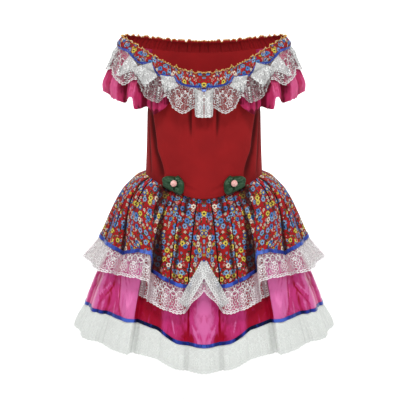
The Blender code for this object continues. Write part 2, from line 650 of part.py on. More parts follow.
def make_bodice(name, panel):
    share = np.linspace(-1, 1, BODICE_COLUMNS + 1)
    side, across = np.sign(share), np.abs(share)
    facing, neckline = panel.facing, panel.neckline_share
    middle = 0 if facing > 0 else 180
    low_angle = 90 * across
    neck_angle = panel.neckline_deg * np.clip(across / neckline, 0, 1)
    low, casing_out, down = casing_frame(np.abs(middle - neck_angle))
    casing = low - casing_out * (CASING - COTTON) / 2 + down * UNDER_CASING
    corner_height = casing[0, 2]
    past = np.clip((across - neckline) / (1 - neckline), 0, 1)
    raglan = UNDERARM + (corner_height - UNDERARM) * (1 - past) ** RAGLAN_SAG
    top_height = np.where(past > 0, raglan, casing[:, 2])
    reach = np.abs(casing[0, 0]) / BODICE_TUBE[-2].half_width
    corner_angle = math.degrees(math.asin(reach))
    top_angle = np.where(past > 0, corner_angle + (90 - corner_angle) * past ** RAGLAN_LEAN,
                         corner_angle * across / neckline)
    at_neck, _ = bodice_surface(np.minimum(top_angle, corner_angle), casing[:, 2])
    target = casing * np.array([1, facing, 1])
    shift = (target - at_neck) * (1 - past)[:, None]
    rows = []
    for up in BODICE_ROWS:
        seam = waist_height(np.abs(middle - low_angle))
        height = seam + (top_height - seam) * up
        angle = low_angle + (top_angle - low_angle) * up
        points, out = bodice_surface(angle, height)
        points = points + shift * max(0, (up - TUBE_ENDS_AT) / (1 - TUBE_ENDS_AT)) ** 2
        for crease in BODICE_CREASES:
            centre = crease.share + (crease.top_share - crease.share) * up
            shape = np.exp(-((across - centre) / crease.width) ** 2)
            fade = np.clip((up - 1 + crease.reach) / crease.reach, 0, 1) * (1 - up) * 4
            points = points - out * (crease.depth * shape * fade)[:, None]
        points[:, 0] *= side + (side == 0)
        rows.append(points)
    grid = np.array(rows)
    if facing < 0:
        grid = grid[:, ::-1] * np.array([1, -1, 1])
    normals = level_edge(directions(grid, False), -1)
    normals[:, (0, -1), 1] = 0
    normals /= np.linalg.norm(normals, axis=-1, keepdims=True)
    wall(name, panel_sides(grid), COTTON, CRIMSON, ring=False, normals=normals)


def settle(mesh, names, way):
    """Move a loose mesh along a direction until it lies on finished pieces."""
    loose = BVHTree.FromBMesh(mesh)
    travels = []
    for name in names:
        data = bpy.data.objects[name].data
        points = [vertex.co for vertex in data.vertices]
        tree = BVHTree.FromPolygons(points, [face.vertices for face in data.polygons])
        hits = [tree.ray_cast(vertex.co, way) for vertex in mesh.verts]
        hits += [loose.ray_cast(point, -way) for point in points]
        travels += [hit[3] for hit in hits if hit[0] is not None]
    bmesh.ops.translate(mesh, verts=mesh.verts, vec=way * (min(travels) - SETTLED_GAP * MM))


def make_bow(suffix, side):
    """Two satin loops laid on the waist seam, and the bud on their crossing."""
    at = np.array([BOW_DEGREES])
    height = waist_height(at) + BOW_RAISED
    point, out = bodice_surface(at, height)
    centre = Vector((point[0, 0] * side, point[0, 1], point[0, 2]))
    facing = Vector((out[0, 0] * side, out[0, 1], 0))
    facing.z = math.tan(math.radians(BOW_TILT))
    facing.normalize()
    across = Vector((0, 0, 1)).cross(facing).normalized()
    up = facing.cross(across)
    above = centre + facing * DROPPED_FROM
    mesh = bmesh.new()
    rims = []
    for share, lift in BOW_RIMS:
        ring = []
        for k in range(BOW_STEPS):
            angle = 2 * math.pi * k / BOW_STEPS
            reach = BOW_HEART
            for petal in BOW_PETALS:
                away = math.radians(petal.degrees) - angle
                away = math.atan2(math.sin(away), math.cos(away))
                bell = math.exp(-(away / math.radians(petal.spread)) ** 2)
                reach = max(reach, BOW_HEART + (petal.reach - BOW_HEART) * bell)
            x = -side * reach * share * math.cos(angle)
            z = reach * share * math.sin(angle)
            place = above + across * x + up * z + facing * BOW_THICK * lift
            ring.append(mesh.verts.new(place * MM))
        rims.append(ring)
    for upper, lower in zip(rims, rims[1:]):
        for k in range(BOW_STEPS):
            n = (k + 1) % BOW_STEPS
            mesh.faces.new((upper[k], lower[k], lower[n]))
            mesh.faces.new((upper[k], lower[n], upper[n]))
    for ring, lift in ((rims[0], BOW_DIMPLE), (rims[-1], 0.0)):
        middle = mesh.verts.new((above + facing * BOW_THICK * lift) * MM)
        for k in range(BOW_STEPS):
            n = (k + 1) % BOW_STEPS
            mesh.faces.new((ring[k], ring[n], middle) if ring is rims[0]
                           else (ring[n], ring[k], middle))
    bmesh.ops.recalc_face_normals(mesh, faces=mesh.faces)
    settle(mesh, ("bodice_front", "overskirt_front"), -facing)
    finish_object("bow_" + suffix, mesh, GREEN)

    bud = bmesh.new()
    bmesh.ops.create_uvsphere(bud, u_segments=BUD_SEGMENTS, v_segments=BUD_RINGS,
                              radius=BUD_RADIUS * MM)
    bmesh.ops.translate(bud, verts=bud.verts, vec=(above + facing * DROPPED_FROM) * MM)
    settle(bud, ("bow_" + suffix,), -facing)
    finish_object("bud_" + suffix, bud, PEARL)


def main():
    for item in list(bpy.data.objects):
        bpy.data.objects.remove(item, do_unlink=True)
    for name, panel in zip(("bodice_front", "bodice_back"), BODICE_PANELS):
        make_bodice(name, panel)
    make_casing()
    make_neck_lace()
    make_sleeve("sleeve_right", 1)
    make_sleeve("sleeve_left", -1)
    make_overskirt()
    make_underskirt()
    make_bow("right", 1)
    make_bow("left", -1)


main()
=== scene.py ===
# %% [markdown]
# # A girl's festa junina dress
#
# The dress is filled out as it is worn, with nobody in it. It has a plain crimson bodice, a
# gathered neck with a pleated lace frill, satin flutter sleeves, and two skirts that end in
# ribbon and lace. The frame that is loaded here holds the stiff walls of the same pieces. Each
# of them is made again below as thin cloth on the same form, with finer folds and its own finish.

# %% Load the frame
import math
from collections import namedtuple

import bmesh
import bpy
import numpy as np
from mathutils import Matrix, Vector


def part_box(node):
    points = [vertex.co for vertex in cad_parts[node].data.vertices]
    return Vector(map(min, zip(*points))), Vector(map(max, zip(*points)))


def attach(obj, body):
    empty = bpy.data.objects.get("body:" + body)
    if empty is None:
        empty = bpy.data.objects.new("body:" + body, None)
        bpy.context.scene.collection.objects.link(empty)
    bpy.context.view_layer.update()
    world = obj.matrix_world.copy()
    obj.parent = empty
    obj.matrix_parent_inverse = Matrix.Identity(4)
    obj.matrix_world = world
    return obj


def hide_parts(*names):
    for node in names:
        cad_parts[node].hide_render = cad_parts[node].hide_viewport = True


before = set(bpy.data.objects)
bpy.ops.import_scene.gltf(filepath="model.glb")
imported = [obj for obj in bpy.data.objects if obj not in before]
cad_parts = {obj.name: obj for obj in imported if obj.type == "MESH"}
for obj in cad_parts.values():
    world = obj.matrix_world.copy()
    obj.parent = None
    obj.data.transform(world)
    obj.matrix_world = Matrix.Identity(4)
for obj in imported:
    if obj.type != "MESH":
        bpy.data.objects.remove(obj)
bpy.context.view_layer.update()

# %% [markdown]
# ## Reading sizes from tables
#
# Cloth has no straight lines, so a form is given by a few measured sections and a smooth curve
# between them. This curve keeps the shape of its points: it never swings past a crest or a
# valley, as an ordinary spline would, so neighbouring layers of cloth never cross.

# %% Smooth curves through the rows of a table
MM = 0.001
TWO_PI = 2 * math.pi


def table(kind, *rows):
    """One row with named columns for each tuple of values."""
    return [kind(*row) for row in rows]


def smooth(xs, ys, at):
    """A smooth curve through the points (xs, ys) that never swings past them."""
    xs, ys = np.asarray(xs, float), np.asarray(ys, float)
    at = np.clip(np.asarray(at, float), xs[0], xs[-1])
    step = np.diff(xs)
    rise = np.diff(ys) / step
    slope = np.zeros_like(ys)
    same = rise[1:] * rise[:-1] > 0
    before, after = 2 * step[1:] + step[:-1], step[1:] + 2 * step[:-1]
    inner = np.zeros(len(rise) - 1)
    inner[same] = ((before + after)[same]
                   / (before[same] / rise[:-1][same] + after[same] / rise[1:][same]))
    slope[1:-1] = inner
    k = np.clip(np.searchsorted(xs, at, side="right") - 1, 0, len(xs) - 2)
    h = step[k]
    s = (at - xs[k]) / h
    return (ys[k] * (1 + 2 * s) * (1 - s) ** 2 + ys[k + 1] * s * s * (3 - 2 * s)
            + h * slope[k] * s * (1 - s) ** 2 - h * slope[k + 1] * s * s * (1 - s))


def column(rows, name):
    return np.array([getattr(row, name) for row in rows], float)


def read(rows, key, name, at, curve=smooth):
    """The column called name where the column called key is at."""
    return curve(column(rows, key), column(rows, name), at)


def straight(xs, ys, at):
    """Straight lines through the points, for an edge with corners."""
    return np.interp(at, xs, ys)


def ramp(value, start, end):
    """0 at start and before it, 1 at end and after it."""
    return np.clip((value - start) / (end - start), 0, 1)


def unit(vectors):
    return vectors / np.linalg.norm(vectors, axis=-1, keepdims=True)


print("a curve through 0, 1, 1 half way up:", smooth([0, 1, 2], [0, 1, 1], 0.5))

# %% [markdown]
# ## The skirts' form
#
# Both skirts hang from a seam that dips at the front. A ring of cloth is given by an angle, 0
# degrees at the front middle, 90 at the side and 180 at the back, and by its drop below that
# seam. The left half mirrors the right. The folds are in one table that both skirts read, since
# the upper skirt falls over the lower one and pushes it into the same folds.

# %% Sizes of the skirts, in millimetres
Form = namedtuple("Form", "drop half_width half_depth squareness")
Fold = namedtuple("Fold", "waist_deg hem_deg over under lean")
Hem = namedtuple("Hem", "degrees drop")
Lace = namedtuple("Lace", "degrees length flare")
Drop = namedtuple("Drop", "drop out")

WAIST_SIDE, WAIST_DIP, WAIST_DIP_BACK, WAIST_DIP_POWER = -274.0, 37.0, 12.0, 3.6
SKIRT_FORM = table(
    Form, (0, 125.5, 95, 2.3), (10, 139, 101, 2.25), (22, 150, 106, 2.2), (45, 167, 113, 2.1),
    (86, 183, 123, 2.05), (131, 197, 134, 2.0), (170, 211, 146, 2.0), (216, 227, 160, 2.0),
    (256, 241, 176, 2.0), (296, 253, 189, 2.0), (350, 268, 203, 2.0))
OVERSKIRT_OFF = table(Drop, (0, 0), (10, 5), (30, 8), (80, 10), (170, 13))
SKIRT_FOLDS = table(
    Fold, (0, 0, 14, 15, 0.0), (6, 8.5, 2, 2, 0.05), (13, 14, 12, 10, 0.15), (20, 20, 7, 8, 0.3),
    (24, 25, 8, 4, 0.5), (28.5, 33.5, 0, 0, 0.8), (35.5, 41, 32, 20, 0.9), (47, 47, 25, 17, 0.75),
    (60, 55, 5, 5, 0.5), (69, 67, 19, 15, 0.3), (79, 78, 8, 6, 0.1), (90, 89, 17, 14, 0.0),
    (101, 101, 7, 5, -0.1), (112, 113, 19, 12, -0.3), (124, 126, 5, 4, -0.5),
    (135, 137, 21, 13, -0.6), (147, 146, 4, 3, -0.5), (157, 157, 15, 10, -0.25),
    (168, 168, 5, 4, -0.1), (180, 180, 14, 10, 0.0))
FOLD_SETTLES = 150.0
OVER_FOLD_FULL, OVER_FOLD_MOST, OVER_FOLD_GROWTH = 165.0, 1.25, 0.8
UNDERSKIRT_IN = 2.4
UNDER_FOLD_START, UNDER_FOLD_FULL, UNDER_FOLD_MOST = 90.0, 300.0, 1.2
LEAN_GROWS_FROM, LEAN_GROWS_TO, LEAN_GROWTH = 105.0, 175.0, 0.3

OVERSKIRT_HEM = table(
    Hem, (0, 125), (8, 177), (14, 175), (20, 173), (26, 171), (30, 168), (34.5, 166), (37, 150),
    (40, 128), (46, 131), (55, 153), (67, 143), (78, 147), (90, 143), (101, 147), (113, 139),
    (126, 147), (137, 143), (148, 158), (160, 163), (180, 166))
OVERSKIRT_LACE = table(
    Lace, (0, 52, 4), (7.5, 36, 10), (9.5, 47, 11), (24, 53, 12), (34, 57, 5), (39.5, 52, 6),
    (47, 47, 10), (55, 40, 9), (67, 47, 15), (78, 44, 15), (90, 46, 20), (101, 45, 16),
    (113, 50, 18), (126, 45, 13), (137, 54, 16), (148, 47, 11), (160, 55, 15), (170, 50, 11),
    (180, 56, 14))
UNDERSKIRT_HEM = table(
    Hem, (0, 294), (9, 294), (15, 289), (24, 275), (36, 274), (46, 278), (60, 286), (75, 292),
    (90, 296), (120, 292), (150, 286), (180, 290))
UNDERSKIRT_LACE = table(
    Lace, (0, 51, 0), (15, 50, 3), (25, 57, 1), (36, 62, 1), (50, 60, 3), (66, 56, 6),
    (90, 53, 6), (120, 56, 5), (150, 58, 4), (180, 56, 4))
print("rows:", len(SKIRT_FORM), "sections,", len(SKIRT_FOLDS), "crests and valleys")


# %% Points of the skirts
def rounded(degrees, sections, key, level):
    """Point and outward direction on the rounded plan outline of a table of sections."""
    half_width, half_depth, power = (read(sections, key, name, level)
                                     for name in ("half_width", "half_depth", "squareness"))
    angle = np.radians(degrees)
    s, c = np.sin(angle), np.cos(angle)
    size = (np.abs(s) ** power + np.abs(c) ** power) ** (1 / power)
    s, c = s / size, c / size
    out_x = np.sign(s) * np.abs(s) ** (power - 1) / half_width
    out_y = -np.sign(c) * np.abs(c) ** (power - 1) / half_depth
    length = np.hypot(out_x, out_y)
    return half_width * s, -half_depth * c, out_x / length, out_y / length


def waist_height(degrees):
    c = np.cos(np.radians(degrees))
    dip = np.where(c > 0, WAIST_DIP, WAIST_DIP_BACK)
    return WAIST_SIDE - dip * np.abs(c) ** WAIST_DIP_POWER


def fold_angle(degrees, drop):
    """The angle in the table of folds for a point at this angle and drop."""
    waist, hem = column(SKIRT_FOLDS, "waist_deg"), column(SKIRT_FOLDS, "hem_deg")
    return degrees + (1 - ramp(drop, 0, FOLD_SETTLES)) * np.interp(degrees, waist, hem - waist)


def overskirt_out(degrees, drop):
    """How far the overskirt stands out from the skirt's form."""
    grown = np.clip(drop / OVER_FOLD_FULL, 0, OVER_FOLD_MOST) ** OVER_FOLD_GROWTH
    off = read(OVERSKIRT_OFF, "drop", "out", drop)
    return off + grown * read(SKIRT_FOLDS, "hem_deg", "over", fold_angle(degrees, drop))


def underskirt_out(degrees, drop):
    span = UNDER_FOLD_FULL - UNDER_FOLD_START
    grown = np.clip((drop - UNDER_FOLD_START) / span, 0, UNDER_FOLD_MOST)
    return (grown * read(SKIRT_FOLDS, "hem_deg", "under", fold_angle(degrees, drop))
            - UNDERSKIRT_IN)


def skirt_point(degrees, drop, out):
    """Points of a skirt. A fold leans by moving sideways as far as it stands out."""
    x, y, out_x, out_y = rounded(degrees, SKIRT_FORM, "drop", drop)
    lean = read(SKIRT_FOLDS, "hem_deg", "lean", fold_angle(degrees, drop))
    back = -lean * (1 + LEAN_GROWTH * ramp(drop, LEAN_GROWS_FROM, LEAN_GROWS_TO)) * out
    x, y = x + out_x * out - out_y * back, y + out_y * out + out_x * back
    return np.stack([x, y, waist_height(degrees) - drop], -1)


print("waist seam, front and side:", waist_height(0), waist_height(90))

# %% [markdown]
# ## Making cloth
#
# Real cloth is about half a millimetre thick. A plane has no edge to catch the light, so each
# piece is a closed shell: the same grid of points pushed out and in along its own direction. The
# shell also carries a map in real metres across and down the cloth, because a print or a lace
# pattern lies in the cloth and has to bend with it.
#
# Each point also keeps how high it stands above the cloth beside it, and patches from the tables
# below add painted shade and painted light to that value. The finishes below read it and paint
# shade into the colour of the valleys and a lighter highlight on the crests, most of all on satin.

# %% Cloth as a grid of points
COTTON_THICK, SATIN_THICK, LACE_THICK, RIBBON_THICK = 0.8, 0.7, 0.5, 0.5
SHARP_EDGE = 78.0
Relief = namedtuple("Relief", "reach full share")
RELIEF = table(Relief, (5.0, 1.3, 0.3), (20.0, 4.5, 0.8))
# across and down are the map in millimetres, two values for each face across and one for each
# point down. The fourth value is painted shade below 0 and painted light above 0, added to the
# relief, normals point out of the cloth, and marks picks the finish of each face.
Cloth = namedtuple("Cloth", "points across down lie normals marks", defaults=(None, None))


def lengths_across(points):
    """Length of cloth from the first column, along each row."""
    steps = np.linalg.norm(np.diff(points, axis=1), axis=2)
    return np.concatenate([np.zeros((len(points), 1)), np.cumsum(steps, axis=1)], axis=1)


def lengths_down(points):
    return lengths_across(points.transpose(1, 0, 2)).T


def cloth_of(rows, along, down=None, lie=0.0):
    """Cloth from rows of points. along is the map across, in one row or in as many."""
    points = np.array(rows)
    size = points.shape[:2]
    along = np.broadcast_to(along, size)
    down = lengths_down(points) if down is None else np.array(down)
    return Cloth(points, np.stack([along[:, :-1], along[:, 1:]], -1), down,
                 np.broadcast_to(lie, size))


def directions(points, ring):
    """Outward direction at each point of a grid of rows and columns."""
    if ring:
        across = np.roll(points, -1, axis=1) - np.roll(points, 1, axis=1)
    else:
        across = np.gradient(points, axis=1)
    return unit(np.cross(np.gradient(points, axis=0), across))


def averaged(values, along, reach):
    """Running mean of rows of points over a distance along the cloth."""
    out = np.empty_like(values)
    for r, (row, s) in enumerate(zip(values, along)):
        total = np.concatenate([[np.zeros(3)], np.cumsum((row[1:] + row[:-1]) / 2
                                                         * np.diff(s)[:, None], axis=0)])
        low, high = np.maximum(s - reach, s[0]), np.minimum(s + reach, s[-1])
        for axis in range(3):
            out[r, :, axis] = (np.interp(high, s, total[:, axis])
                               - np.interp(low, s, total[:, axis])) / (high - low)
    return out


def relief_for_painted_shading(points, normals, ring):
    """How far each point stands above the cloth beside it, from -1 in a valley to 1."""
    cols = points.shape[1]
    grid = np.concatenate([points] * 3, axis=1) if ring else points
    steps = np.maximum(np.linalg.norm(np.diff(grid, axis=1), axis=2), 1e-6)
    along = np.concatenate([np.zeros((len(grid), 1)), np.cumsum(steps, axis=1)], axis=1)
    total = np.zeros(points.shape[:2])
    for reach, full, share in RELIEF:
        level = averaged(averaged(grid, along, reach), along, reach)
        level = level[:, cols:2 * cols] if ring else level
        total += share * np.clip(((points - level) * normals).sum(axis=2) / full, -1, 1)
    return np.clip(total, -1, 1)


# %% Cloth as a thin closed shell
def in_scene(name, data):
    """An object for a mesh, a light or a camera."""
    item = bpy.data.objects.new(name, data)
    bpy.context.scene.collection.objects.link(item)
    return item


def shell(name, cloth, thickness, shift=0.0, ring=False):
    """A closed sheet round a grid of points, moved out by shift.

    The inner skin wears the piece's second finish, since a print shows on one side only.
    """
    points, across, down, lie, normals, marks = cloth
    rows, cols = points.shape[:2]
    normals = directions(points, ring) if normals is None else normals
    index = np.arange(rows * cols).reshape(rows, cols)
    if ring:
        index = np.concatenate([index, index[:, :1]], axis=1)
        down = np.concatenate([down, down[:, :1]], axis=1)
    inner = index + rows * cols

    def corners(grid):
        return np.stack([grid[:-1, :-1], grid[1:, :-1], grid[1:, 1:], grid[:-1, 1:]], -1)

    faces = corners(index).reshape(-1, 4)
    left, right = across[:, :, 0], across[:, :, 1]
    u = np.stack([left[:-1], left[1:], right[1:], right[:-1]], -1)
    maps = np.stack([u, corners(down)], -1).reshape(-1, 4, 2)
    strips = []
    for r in (0, -1):
        strip = index[r, :-1], index[r, 1:], inner[r, 1:], inner[r, :-1]
        strips.append((r, strip, (left[r], right[r], right[r], left[r]),
                       (down[r, :-1], down[r, 1:], down[r, 1:], down[r, :-1])))
    for c, side in () if ring else ((0, left[:, 0]), (-1, right[:, -1])):
        strip = index[:-1, c], inner[:-1, c], inner[1:, c], index[1:, c]
        strips.append((c, strip, (side[:-1], side[:-1], side[1:], side[1:]),
                       (down[:-1, c], down[:-1, c], down[1:, c], down[1:, c])))
    all_faces, all_maps = [faces, (faces + rows * cols)[:, ::-1]], [maps, maps[:, ::-1]]
    for last, strip, along, level in strips:
        way = -1 if last else 1
        all_faces.append(np.stack(strip, -1)[:, ::way])
        all_maps.append(np.stack([np.stack(along, -1), np.stack(level, -1)], -1)[:, ::way])
    skins = [points + normals * (shift + way * thickness / 2) for way in (1, -1)]
    mesh = bpy.data.meshes.new(name)
    mesh.from_pydata((np.concatenate([skin.reshape(-1, 3) for skin in skins]) * MM).tolist(),
                     [], np.concatenate(all_faces).tolist())
    mesh.uv_layers.new(name="cloth").data.foreach_set("uv",
                                                      (np.concatenate(all_maps) * MM).ravel())
    # The relief plus the painted patches: from it the finishes paint shade into valleys and a
    # highlight on crests.
    height = np.clip(relief_for_painted_shading(points, normals, ring) + lie, -1, 1).ravel()
    mesh.attributes.new("relief_for_painted_shading", "FLOAT", "POINT").data.foreach_set(
        "value", np.concatenate([height, -height]))
    finish = np.zeros(len(mesh.polygons), dtype=np.int32)
    finish[len(faces):2 * len(faces)] = 1
    if marks is not None:
        finish[:len(faces)] = marks.ravel()
    mesh.polygons.foreach_set("material_index", finish)
    mesh.shade_smooth()
    mesh.set_sharp_from_angle(angle=math.radians(SHARP_EDGE))
    return in_scene(name, mesh)


print("cotton, satin and lace are", COTTON_THICK, SATIN_THICK, LACE_THICK, "mm thick")


# %% Halves, rings and panels
MIRROR = np.array([-1.0, 1.0, 1.0])
FINE_STEPS = 1441   # points at which a curve is measured


def mirrored(cloth):
    """The same piece on the left side of the dress."""
    return Cloth(cloth.points[:, ::-1] * MIRROR, cloth.across[:, ::-1, ::-1],
                 cloth.down[:, ::-1], cloth.lie[:, ::-1])


def all_round(half):
    """A ring from its right half. It starts at the back middle and runs to the left first."""
    left = mirrored(half)
    points, down, lie = (np.concatenate([one[:, :-1], two[:, :-1]], axis=1) for one, two in (
        (left.points, half.points), (left.down, half.down), (left.lie, half.lie)))
    across = np.concatenate([left.across, half.across], axis=1)
    marks = None
    if half.marks is not None:
        marks = np.concatenate([half.marks[:, ::-1], half.marks], axis=1)
    return Cloth(points, across, down, lie, directions(points, True), marks)


def panel(ring, turn, front):
    """The front or the back panel of a ring, cut at the side seams."""
    side, last = int(np.argmin(np.abs(turn - 90))), len(turn) - 1
    start, count = (last - side, 2 * side) if front else (last + side, 2 * (last - side))
    cut = []
    for name, values in zip(Cloth._fields, ring):
        if values is not None:
            values = np.roll(values, -start, axis=1)
            values = values[:, :count + (0 if name in ("across", "marks") else 1)]
        cut.append(values)
    return Cloth(*cut)


def spread(curve, start, end, count, turn_length=6.0):
    """Angles of columns, evenly along the cloth and closer together where it turns."""
    fine = np.linspace(start, end, FINE_STEPS)
    steps = np.diff(curve(fine), axis=0)
    lengths = np.linalg.norm(steps, axis=1)
    ways = steps / lengths[:, None]
    turns = np.arccos(np.clip((ways[1:] * ways[:-1]).sum(axis=1), -1, 1))
    effort = lengths + turn_length * (np.append(turns, 0) + np.append(0, turns)) / 2
    along = np.concatenate([[0], np.cumsum(effort)])
    return np.interp(np.linspace(0, along[-1], count + 1), along, fine)


def half_turn(curve, count):
    """Column angles of the right half, with one exactly at the side."""
    return np.concatenate([spread(curve, 0, 90, count), spread(curve, 90, 180, count)[1:]])


print("columns of a test ring:", len(half_turn(lambda t: skirt_point(t, 90.0 + 0 * t, 0 * t), 9)))

# %% [markdown]
# ## Creases and gathers
#
# Smooth walls look like plastic. Cotton and satin show three finer forms: soft troughs where the
# cloth is pulled, one-sided steps where a pleat is pressed, and small uneven gathers where a long
# edge is sewn to a shorter one. Each is a row in a table with its own place and size, so no two
# are alike. A patch is a soft-edged area between two slanting lines that carries painted shade or
# painted light in the cloth's colour, as on the broad crest of a fold or on the side of a flap.
# Under the satin skirt the same patches also raise and lower the cloth.

# %% Troughs and uneven waves
Crease = namedtuple("Crease", "deg level deg_end level_end depth width soft", defaults=(1.0,))
Patch = namedtuple("Patch", "deg level deg_end level_end near near_level near_end near_level_end "
                            "soft near_soft value")
Wave = namedtuple("Wave", "deep long seed")
WAVE_PARTS = ((1.0, 0.5), (0.71, 0.35), (1.57, 0.3))   # stretch and share of each sine
CREASE_ENDS, CREASE_ENDS_WIDE = 0.3, 0.6   # depth and width left where a crease runs out


def troughs(creases, degrees, level, per_degree):
    """Depth of a table's soft creases. Each runs from one point of the cloth to another.

    soft makes the crease broader on one side, where the cloth comes up more slowly.
    """
    total = np.zeros(np.broadcast(degrees, level).shape)
    for row in creases:
        x0, x1 = row.deg * per_degree, row.deg_end * per_degree
        way_x, way_y = x1 - x0, row.level_end - row.level
        x, y = degrees * per_degree - x0, level - row.level
        along = np.clip((x * way_x + y * way_y) / (way_x ** 2 + way_y ** 2), 0, 1)
        apart = np.hypot(x - along * way_x, y - along * way_y)
        taper = CREASE_ENDS + (1 - CREASE_ENDS) * np.sin(np.pi * along) ** 0.7
        width = row.width * np.where(way_x * y - way_y * x > 0, row.soft, 1.0)
        width = width * (CREASE_ENDS_WIDE + (1 - CREASE_ENDS_WIDE) * taper)
        total += row.depth * taper * np.exp(-(apart / width) ** 2)
    return total


def patches(areas, degrees, level):
    """Total of soft-edged patches between two slanting lines, one on each side."""
    total = np.zeros(np.broadcast(degrees, level).shape)
    for row in areas:
        far = np.interp(level, (row.level, row.level_end), (row.deg, row.deg_end))
        near = np.interp(level, (row.near_level, row.near_level_end), (row.near, row.near_end))
        mask = (np.clip((far - degrees) / row.soft + 0.5, 0, 1)
                * np.clip((degrees - near) / row.near_soft + 0.5, 0, 1))
        total += row.value * mask * mask * (3 - 2 * mask)
    return total


def uneven(along, *waves):
    """Soft waves, about one in each length, flat at the start so that halves meet."""
    total = np.zeros_like(along)
    for wave in waves:
        random = np.random.default_rng(wave.seed)
        for stretch, share in WAVE_PARTS:
            turns = along / (wave.long * stretch) + random.random()
            total += wave.deep * share * np.sin(TWO_PI * turns) * ramp(along, 0, wave.long)
    return total


print("uneven waves:", np.round(uneven(np.arange(0.0, 60.0, 10.0), Wave(1, 12.0, 1)), 2))

# %% [markdown]
# ## Colours and nodes
#
# Dyes are picked as sRGB hex values, the way a colour picker shows them, and turned to the linear
# values that Blender works with. One helper adds a node, sets it up and links it.

# %% Colour and node helpers
MATH, VECTOR, MIX = "ShaderNodeMath", "ShaderNodeVectorMath", "ShaderNodeMixRGB"
RAMP, RANGE = "ShaderNodeValToRGB", "ShaderNodeMapRange"
NOISE, CELLS = "ShaderNodeTexNoise", "ShaderNodeTexVoronoi"
SPLIT, BUILD = "ShaderNodeSeparateXYZ", "ShaderNodeCombineXYZ"
VALUE_OF = "ShaderNodeAttribute"


def linear(code):
    """An sRGB hex colour as linear red, green, blue and alpha."""
    parts = [int(code[i:i + 2], 16) / 255 for i in (1, 3, 5)]
    return tuple(c / 12.92 if c <= 0.04045 else ((c + 0.055) / 1.055) ** 2.4
                 for c in parts) + (1.0,)


def plug(socket, value):
    """Link a socket to another one, or set its own value."""
    if isinstance(value, bpy.types.NodeSocket):
        socket.id_data.links.new(value, socket)
    else:
        socket.default_value = value


def add(tree, kind, inputs=(), output=0, stops=(), **settings):
    """Add a node: inputs by place or name, stops for a colour ramp. Returns one output."""
    node = tree.nodes.new(kind)
    for name, value in settings.items():
        setattr(node, name, value)
    if stops:
        elements = node.color_ramp.elements
        while len(elements) < len(stops):
            elements.new(0.5)
        for element, (place, colour) in zip(elements, stops):
            element.position = place
            element.color = linear(colour)
    for key, value in (inputs.items() if isinstance(inputs, dict) else enumerate(inputs)):
        plug(node.inputs[key], value)
    return node.outputs[output]


def new_finish(name):
    """A material with its tree, its shader and the place on the cloth in millimetres."""
    material = bpy.data.materials.new(name)
    material.use_nodes = True
    tree = material.node_tree
    uv = add(tree, "ShaderNodeUVMap", uv_map="cloth")
    place = add(tree, VECTOR, [uv, (1000.0, 1000.0, 0.0)], operation="MULTIPLY")
    return material, tree, tree.nodes["Principled BSDF"], place


def paint_shade_and_highlight(tree, colour, painted_shade_colour, painted_highlight_colour, painted_highlight_share, stir=None):
    """Painted shade and highlight: darken a colour by the shade colour where cloth lies low, and
    turn it towards the highlight colour where it lies high.
    """
    lie = add(tree, VALUE_OF, output=2, attribute_name="relief_for_painted_shading")
    if stir:
        lie = add(tree, MATH, [lie, stir], operation="ADD")
    low = add(tree, RANGE, [lie, -0.1, -0.9, 0.0, 1.0], interpolation_type="SMOOTHSTEP")
    high = add(tree, RANGE, [lie, 0.15, 0.9, 0.0, painted_highlight_share], interpolation_type="SMOOTHSTEP")
    colour = add(tree, MIX, [low, colour, linear(painted_shade_colour)], blend_type="MULTIPLY")
    return add(tree, MIX, [high, colour, linear(painted_highlight_colour)])


def dress_up(tree, shader, colour, height, depth, **values):
    """Give a shader its colour, its bump and its other values, named with _ for a space."""
    bump = add(tree, "ShaderNodeBump", {"Strength": 1.0, "Distance": depth, "Height": height})
    for name, value in dict(values, Base_Color=colour, Normal=bump).items():
        plug(shader.inputs[name.replace("_", " ")], value)


def threads(tree, place, pitch):
    """Height of a plain weave, from 0 to 1, with threads pitch millimetres apart."""
    scaled = add(tree, VECTOR, [place, (math.pi / pitch,) * 3], operation="MULTIPLY")
    both = add(tree, SPLIT, [scaled]).node.outputs[:2]
    warp, weft = (add(tree, MATH, [add(tree, MATH, [way], operation="SINE")],
                      operation="ABSOLUTE") for way in both)
    return add(tree, MATH, [warp, weft], operation="MAXIMUM")


print("crimson in linear light:", [round(v, 3) for v in linear("#8f1d20")])

# %% [markdown]
# ## Crimson cotton
#
# The bodice is a plain woven cotton, dyed crimson in the piece. Yarns are about 0.35 mm apart,
# far finer than a pixel here, so the weave is drawn four times as coarse with a shallow bump. It
# tells the eye that the surface is matt and slightly furry, and a broad mottling stands for the
# way a dyed cotton takes colour unevenly. Its valleys are painted darker, as painted shade, and
# its crests a little lighter, as painted light.

# %% Crimson plain-weave cotton
OVERLOCK = 3.2
WEAVE_PITCH = 1.4
COTTON_FUR = {"Sheen_Weight": 0.02, "Sheen_Roughness": 0.4, "IOR": 1.5}


def overlock(tree, place, under):
    """Thread loops over a raw edge, from the edge where the map's second value is 0."""
    across = add(tree, SPLIT, [place], 1)
    loops = add(tree, NOISE, {"Vector": place, "Scale": 0.55, "Detail": 1.0})
    thread = add(tree, RAMP, [loops], stops=[(0.36, "#6e2016"), (0.44, "#c9802a"),
                                             (0.54, "#ecc55c"), (0.66, "#f4ead2")])
    near = add(tree, RANGE, [across, OVERLOCK - 0.5, OVERLOCK + 0.3, 1.0, 0.0])
    return add(tree, MIX, [near, under, thread])


